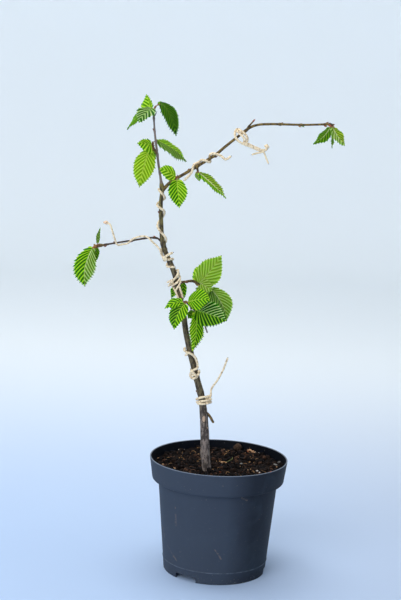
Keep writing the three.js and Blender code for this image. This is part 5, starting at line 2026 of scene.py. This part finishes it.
@dataclass(frozen=True)
class TieWire:
    """Paper-covered wire, wound round the limbs by hand."""

    radius: float = 1.35
    grip: float = 0.35
    degrees_per_point: float = 42.0
    sides: int = 14
    spacing: float = 0.42
    twist_pitch: float = 6.5
    twist_depth: float = 0.13
    crush_depth: float = 0.12
    crush_size: float = 2.6
    core_radius: float = 0.38
    core_length: float = 0.9
    # The strands that aren't of the usual thickness, by their tie and number, and each one's share of it
    thinner: tuple[tuple[str, int, float], ...] = (
        ("tie_foot", 1, 0.8), ("tie_upper", 2, 0.78), ("tie_upper", 0, 0.95), ("tie_middle", 0, 0.85),
        ("tie_middle", 1, 0.8), ("tie_middle", 2, 0.85), ("tie_middle", 3, 0.8), ("tie_middle", 4, 0.85),
        ("tie_middle", 5, 0.85), ("tie_bough_outer", 4, 0.8), ("tie_bough_outer", 5, 0.75),
    )
    # Crushed ends and knots: the tie, the middle, the half sizes and the finish
    knobs: tuple[tuple[str, Point, Point, CrepePaper | PlainSkin], ...] = (
        ("tie_bough_outer", (35.8, -13, 462.8), (2.2, 1.9, 3.6), PAPER),
        ("tie_lower", (-31.2, -23.5, 219.4), (1.8, 1.2, 2.0), PAPER),
        ("tie_upper", (-128.6, -20.5, 377.4), (2.6, 1.9, 1.8), PAPER_PEACH),
    )

    def wound(self, limb: Limb, stops: tuple[Point, ...]) -> list[Vector]:
        """Points wound round a limb.

        Args:
            limb: The limb.
            stops: Where along the limb, the turn in degrees and the slack, at each stop.

        Returns:
            The points.
        """
        points = []
        for (at, turn, slack), (next_at, next_turn, next_slack) in zip(stops, stops[1:]):
            count = max(1, round(abs(next_turn - turn) / self.degrees_per_point))
            for k in range(1 if points else 0, count + 1):
                f = k / count
                away = self.radius + self.grip + mix(slack, next_slack, f)
                points.append(limb.beside(mix(at, next_at, f), mix(turn, next_turn, f), away))
        return points

    def strand(self, piece: Piece, points: list[Vector], scale: float) -> None:
        """Lay one strand, with the wire showing at its cut ends.

        Args:
            piece: The piece that takes it.
            points: What it passes through.
            scale: Its thickness as a share of the usual one.
        """
        curve = Curve(points)
        radius = self.radius * scale

        def paper(reached: float, angle: float) -> float:
            """The two lobes of the twisted paper, with a few crushed places."""
            lobes = abs(math.cos(angle - math.tau * reached / self.twist_pitch)) - 0.6
            around = Vector((math.cos(angle) * 1.3, math.sin(angle) * 1.3, reached / self.crush_size))
            return radius * (self.twist_depth * lobes + self.crush_depth * noise.noise(around))

        piece.add(tube(curve, lambda _: radius * 0.95, self.sides, self.spacing, paper, (True, True)), PAPER)
        for t, way in ((0.0, -1), (1.0, 1)):
            start = curve.point(t)
            end = start + curve.tangent(t) * way * self.core_length
            core = Curve([start, start.lerp(end, 0.5), end])
            bare = tube(core, lambda _: self.core_radius * scale, sides=8, spacing=0.3)
            piece.add(bare, WIRE_CORE)

    def build(self) -> None:
        """Make all six ties."""
        shares = {(tie, number): share for tie, number, share in self.thinner}
        for name, strands in self.strands().items():
            piece = Piece(f"{name}_paper", "tie_paper", (name,))
            for number, points in enumerate(strands):
                self.strand(piece, points, shares.get((name, number), 1.0))
            for tie, centre, sizes, finish in self.knobs:
                if tie == name:
                    knob = pebble(Vector(centre), Vector(sizes), turn=0.3, seed=2.0, rough=0.35, level=3)
                    piece.add(knob, finish)
            piece.finish()

    def strands(self) -> dict[str, list[list[Vector]]]:
        """The route of every strand.

        Returns:
            Each tie's strands.
        """
        return {
            # Round the upper trunk from the fork down, a short cross end, and the strand from the left bough
            "tie_upper": [
                self.wound(TRUNK, (
                    (415, -100, 0), (405.5, 90, 0), (398, 270, 0), (390, 450, 0), (376.5, 630, 0),
                    (361, 810, 0), (351, 960, 0), (343.5, 1000, 0), (341, 1080, 0.2), (339.5, 1160, 0),
                    (337.5, 1300, 0), (335, 1380, 0), (332, 1485, 0),
                )),
                [
                    *self.wound(TRUNK, ((340.5, -110, 0), (343, -60, 0.6), (345, 0, 1.6))),
                    Vector((-57.5, -21, 349)),
                ],
                [
                    *map(Vector, (
                        (-129.5, -20.5, 377.8), (-124.6, -20.4, 375.6), (-122, -20, 369),
                        (-119.3, -19.5, 361),
                    )),
                    *self.wound(BOUGH_LEFT, (
                        (-116.5, -60, 0), (-112, -95, 0), (-106, -60, 0), (-101, 20, 0), (-95, 75, 0),
                        (-89.5, 70, 0), (-85.5, 30, 0),
                    )),
                    *map(Vector, ((-79, -20, 358.5), (-72.5, -20, 352.5))),
                    *self.wound(TRUNK, ((345.5, -50, 1.2), (342, -5, 1.2))),
                ],
            ],
            # The criss-cross binding above the middle shoot, with two strands laid down the trunk
            "tie_middle": [
                self.wound(TRUNK, stops) for stops in (
                    ((328, 140, 0), (328, 90, 0.3), (322, 0, 0.8), (315, -90, 4.5), (317.5, -180, 3)),
                    ((320, -200, 2), (318.5, -110, 5.5), (321.5, 0, 0.2), (324.5, 90, 0), (325.5, 170, 0)),
                    ((312.5, -160, 1), (314.5, -80, 1), (316.5, 0, 0.4), (321, 90, 0.2), (326.5, 180, 0)),
                    ((307.5, -70, 0), (311, -10, 0.3), (316, 45, 1), (319.5, 60, 0.6)),
                    ((313, -75, 0.5), (309, -50, 0), (303, -30, 0), (299.5, -25, 0)),
                    ((313.5, 20, 0.3), (308, 30, 0), (299.5, 38, 0)),
                )
            ],
            # A short knot, one wrap down the right of the lower trunk, and a close knot on its front
            "tie_lower": [
                self.wound(TRUNK, stops) for stops in (
                    (
                        (248.5, -125, 0.5), (246.5, -80, 0.8), (244, -30, 0.3), (242, 5, 0), (239.5, 32, 0.2),
                        (236.5, 52, 0.2), (232.5, 64, 0), (228.5, 66, 0),
                    ),
                    (
                        (228.5, 66, 0), (226, 34, 0.8), (225, -5, 0.8), (222.5, -50, 1), (219, -75, 0.9),
                        (216.8, -45, 0.4), (217, -5, 0.4), (220, 35, 0.8), (223.5, 60, 0.4),
                    ),
                    ((226.5, -40, 0.6), (223.5, -20, 1.6), (220, 0, 1.4), (217.5, 20, 0.8)),
                    ((245.5, -110, 0.6), (246.5, -60, 0.8), (243, -30, 1.4), (241, -70, 1.2)),
                )
            ],
            # Three slack turns low on the trunk, with a long thin end that stands up to the right
            "tie_foot": [
                self.wound(TRUNK, (
                    (195, 100, 4), (196, 0, 0), (194.2, -90, 0), (192.6, -180, 0), (191.6, -270, 4),
                    (192, -360, 0), (190.8, -450, 0), (189.8, -540, 0), (189, -630, 3.5), (189, -720, 0),
                    (190, -790, 0),
                )),
                [
                    *self.wound(TRUNK, ((191.5, 70, 3), (196, 90, 5))),
                    *map(Vector, ((-11.5, -20, 204), (-5, -21, 215), (0.5, -22, 227), (4.5, -23, 239.5))),
                ],
            ],
            # Turns along the inner right bough and a crinkled free end
            "tie_bough_inner": [
                [
                    *map(Vector, ((-49, -18, 424.5), (-45, -17.5, 428.5))),
                    *self.wound(BOUGH_RIGHT, (
                        (-43, 40, 0.6), (-40, -10, 0.3), (-37, -80, 0), (-33, -125, 0), (-30, -80, 0),
                        (-27, 0, 0), (-24.5, 90, 0), (-23, 180, 0), (-21, 260, 0), (-18, 330, 0.4),
                    )),
                    *map(Vector, ((-12, -15.5, 451.5), (-6.5, -16.5, 448), (-1, -16, 451.5))),
                ],
            ],
            # A knotted loop where the right bough turns level: two bands, a doubled run and its ends
            "tie_bough_outer": [
                [Vector(p) for p in route] for route in (
                    (
                        (3.6, -12.5, 478.2), (6.8, -14.2, 475.2), (10.0, -14.9, 472.4), (12.2, -14.9, 469.5),
                        (12.3, -14.4, 466.6), (17.5, -13.8, 464.1), (24.3, -13.6, 461.3),
                        (29.8, -13.3, 459.4),
                    ),
                    (
                        (4.6, -8.5, 480.1), (2.6, -11, 477.7), (1.9, -13.2, 474.0), (3.7, -14.3, 469.6),
                        (8.0, -14.6, 466.0), (12.9, -14.3, 464.0), (19.2, -13.6, 461.9), (25.0, -13.6, 459.7),
                        (30.9, -13.4, 458.0),
                    ),
                    (
                        (5.0, -10.5, 480.2), (9.0, -12.9, 477.3), (12.8, -13.9, 474.4), (15.0, -13.9, 470.8),
                        (14.6, -13.2, 467.3), (10.8, -13, 465.5),
                    ),
                    ((30, -13.2, 459.4), (34, -13.2, 459), (36.2, -13, 461.2), (36, -13, 464.8)),
                    ((33.5, -13.4, 457.6), (29, -14, 456.4), (25.2, -14.3, 455.4), (20.2, -14.6, 453.7)),
                    ((33, -12.2, 457.2), (35.6, -11.7, 450.8), (38.4, -11.5, 445)),
                )
            ],
        }


# Studio


@dataclass(frozen=True)
class SoftLamp:
    """One soft square light: where it hangs, what it looks at, its side in metres, its power in watts."""

    name: str
    at: Point
    target: Point
    size: float
    power: float

    def hang(self) -> None:
        """Hang the light, out of the camera's sight."""
        light = bpy.data.lights.new(self.name, "AREA")
        light.shape = "SQUARE"
        light.size = self.size
        light.energy = self.power
        lamp = bpy.data.objects.new(self.name, light)
        lamp.location = self.at
        lamp.visible_camera = False
        lamp.rotation_euler = (Vector(self.target) - Vector(self.at)).to_track_quat("-Z", "Y").to_euler()
        bpy.context.scene.collection.objects.link(lamp)


@dataclass(frozen=True)
class Studio:
    """The round pale floor that bends up all about, the soft lights and the camera, in metres."""

    floor_colour: str = "#b8cde9"
    wall_colour: str = "#ecf2f5"
    # Painted shade: the floor's colour at the far right
    shaded_floor_colour: str = "#b9c8dd"
    floor_radius: float = 2.6
    floor_rings: int = 24
    bend: float = 0.9
    bend_rings: int = 14
    wall_height: float = 2.6
    sides: int = 96
    # Painted shade on the floor: where along X it is as bright as at the left, and where it is as dark as at
    # the far right
    painted_dimming: tuple[float, float] = (-0.1, 0.3)
    # Where the floor's colour starts to turn and is the wall's, going back and up
    turned: tuple[float, float] = (0.0, 1.35)
    # The paper's own glow behind the plant and all about: where it starts, where it is full, and how strong
    back_glow: Point = (0.7, 3.6, 0.075)
    round_glow: Point = (1.2, 3.2, 0.065)
    air_colour: str = "#eef3fa"
    air_strength: float = 0.21
    lamps: tuple[SoftLamp, ...] = (
        SoftLamp("key", (-1.2, -2.15, 1.15), (-0.02, 0.0, 0.3), 2.2, 45.5),
        SoftLamp("overhead", (-0.15, 0.3, 2.3), (-0.05, 0.15, 0.0), 2.2, 35.0),
        SoftLamp("wall_wash", (-0.9, 0.6, 2.5), (-0.5, 1.7, 0.7), 1.2, 9.0),
    )
    camera_at: Point = (-0.0268, -1.3435, 0.4943)
    pitch: float = 8.364
    roll: float = 2.326
    lens: float = 76.14
    sensor: float = 36.0

    def sweep(self) -> None:
        """The round floor and the wall all about it, in one bowl with a soft bend."""
        section = [Vector((self.floor_radius * i / self.floor_rings, 0, 0)) for i in range(self.floor_rings)]
        for i in range(self.bend_rings + 1):
            angle = math.pi / 2 * i / self.bend_rings
            out = self.floor_radius + self.bend * math.sin(angle)
            section.append(Vector((out, 0, self.bend * (1 - math.cos(angle)))))
        section.append(section[-1] + Vector((0, 0, self.wall_height)))
        bm = spun(section, self.sides, 1e-4)
        for face in bm.faces:
            face.smooth = True
        stage = as_object("studio_sweep", bm)
        stage.data.materials.append(self.paper())

    def paper(self) -> bpy.types.Material:
        """The studio's blue-white paper, painted darker to the right as shade, which glows softly behind the
        plant and a little all about.

        Returns:
            The material.
        """
        paint = Paint("studio_paper", roughness=0.9)
        parts = paint.add_node("SeparateXYZ", {0: paint.place}).node.outputs
        back = paint.add_node("Math", {0: parts["Y"], 1: parts["Z"]}, operation="ADD")
        radius = paint.add_node("VectorMath", {0: paint.place}, "Value", operation="LENGTH")
        painted_dimming, turned, behind, about = (
            paint.add_node("MapRange", {
                "Value": value, "From Min": start, "From Max": full, "To Max": most,
            }, interpolation_type="SMOOTHSTEP")
            for value, start, full, most in (
                (parts["X"], *self.painted_dimming, 1.0), (back, *self.turned, 1.0), (back, *self.back_glow),
                (radius, *self.round_glow),
            )
        )
        colour = linear(self.floor_colour)
        # Painted shade toward the right of the floor, then the turn to the wall's colour
        for share, over in ((painted_dimming, self.shaded_floor_colour), (turned, self.wall_colour)):
            colour = paint.add_node("Mix", {0: share, 6: colour, 7: linear(over)}, 2, data_type="RGBA")
        glow = paint.add_node("Math", {0: behind, 1: about}, operation="ADD")
        paint.feed(paint.shader, {
            "Base Color": colour, "Emission Color": colour, "Emission Strength": glow,
            "Specular IOR Level": 0.0,
        })
        return paint.material

    def camera(self) -> None:
        """Stand the camera where the photograph was taken from."""
        data = bpy.data.cameras.new("camera")
        data.lens = self.lens
        data.sensor_width = self.sensor
        data.clip_start = 0.05
        camera = bpy.data.objects.new("camera", data)
        pitch, roll = math.radians(self.pitch), math.radians(self.roll)
        up = Vector((0, math.sin(pitch), math.cos(pitch)))
        ahead = Vector((0, math.cos(pitch), -math.sin(pitch)))
        right = Vector((1, 0, 0))
        across = right * math.cos(roll) + up * math.sin(roll)
        upright = up * math.cos(roll) - right * math.sin(roll)
        turn = Matrix((across, upright, -ahead)).transposed().to_4x4()
        camera.matrix_world = Matrix.Translation(self.camera_at) @ turn
        bpy.context.scene.collection.objects.link(camera)
        bpy.context.scene.camera = camera

    def build(self) -> None:
        """Set up the floor, the lights, the surroundings and the camera."""
        self.sweep()
        for lamp in self.lamps:
            lamp.hang()
        world = bpy.data.worlds.new("studio_air")
        world.use_nodes = True
        air = next(node for node in world.node_tree.nodes if node.type == "BACKGROUND")
        air.inputs["Color"].default_value = linear(self.air_colour)
        air.inputs["Strength"].default_value = self.air_strength
        bpy.context.scene.world = world
        bpy.context.scene.view_settings.view_transform = "Standard"
        self.camera()


def main() -> None:
    """Build the whole plant in its pot, then the studio round it."""
    logging.basicConfig(level=logging.INFO, format="%(message)s")
    pot = NurseryPot()
    pot.build()
    PeatFilling(pot).build()
    WoodyPlant().build()
    foliage = Foliage()
    for mass in MASSES:
        foliage.build(mass)
    TieWire().build()
    Studio().build()


if __name__ == "__main__":
    main()
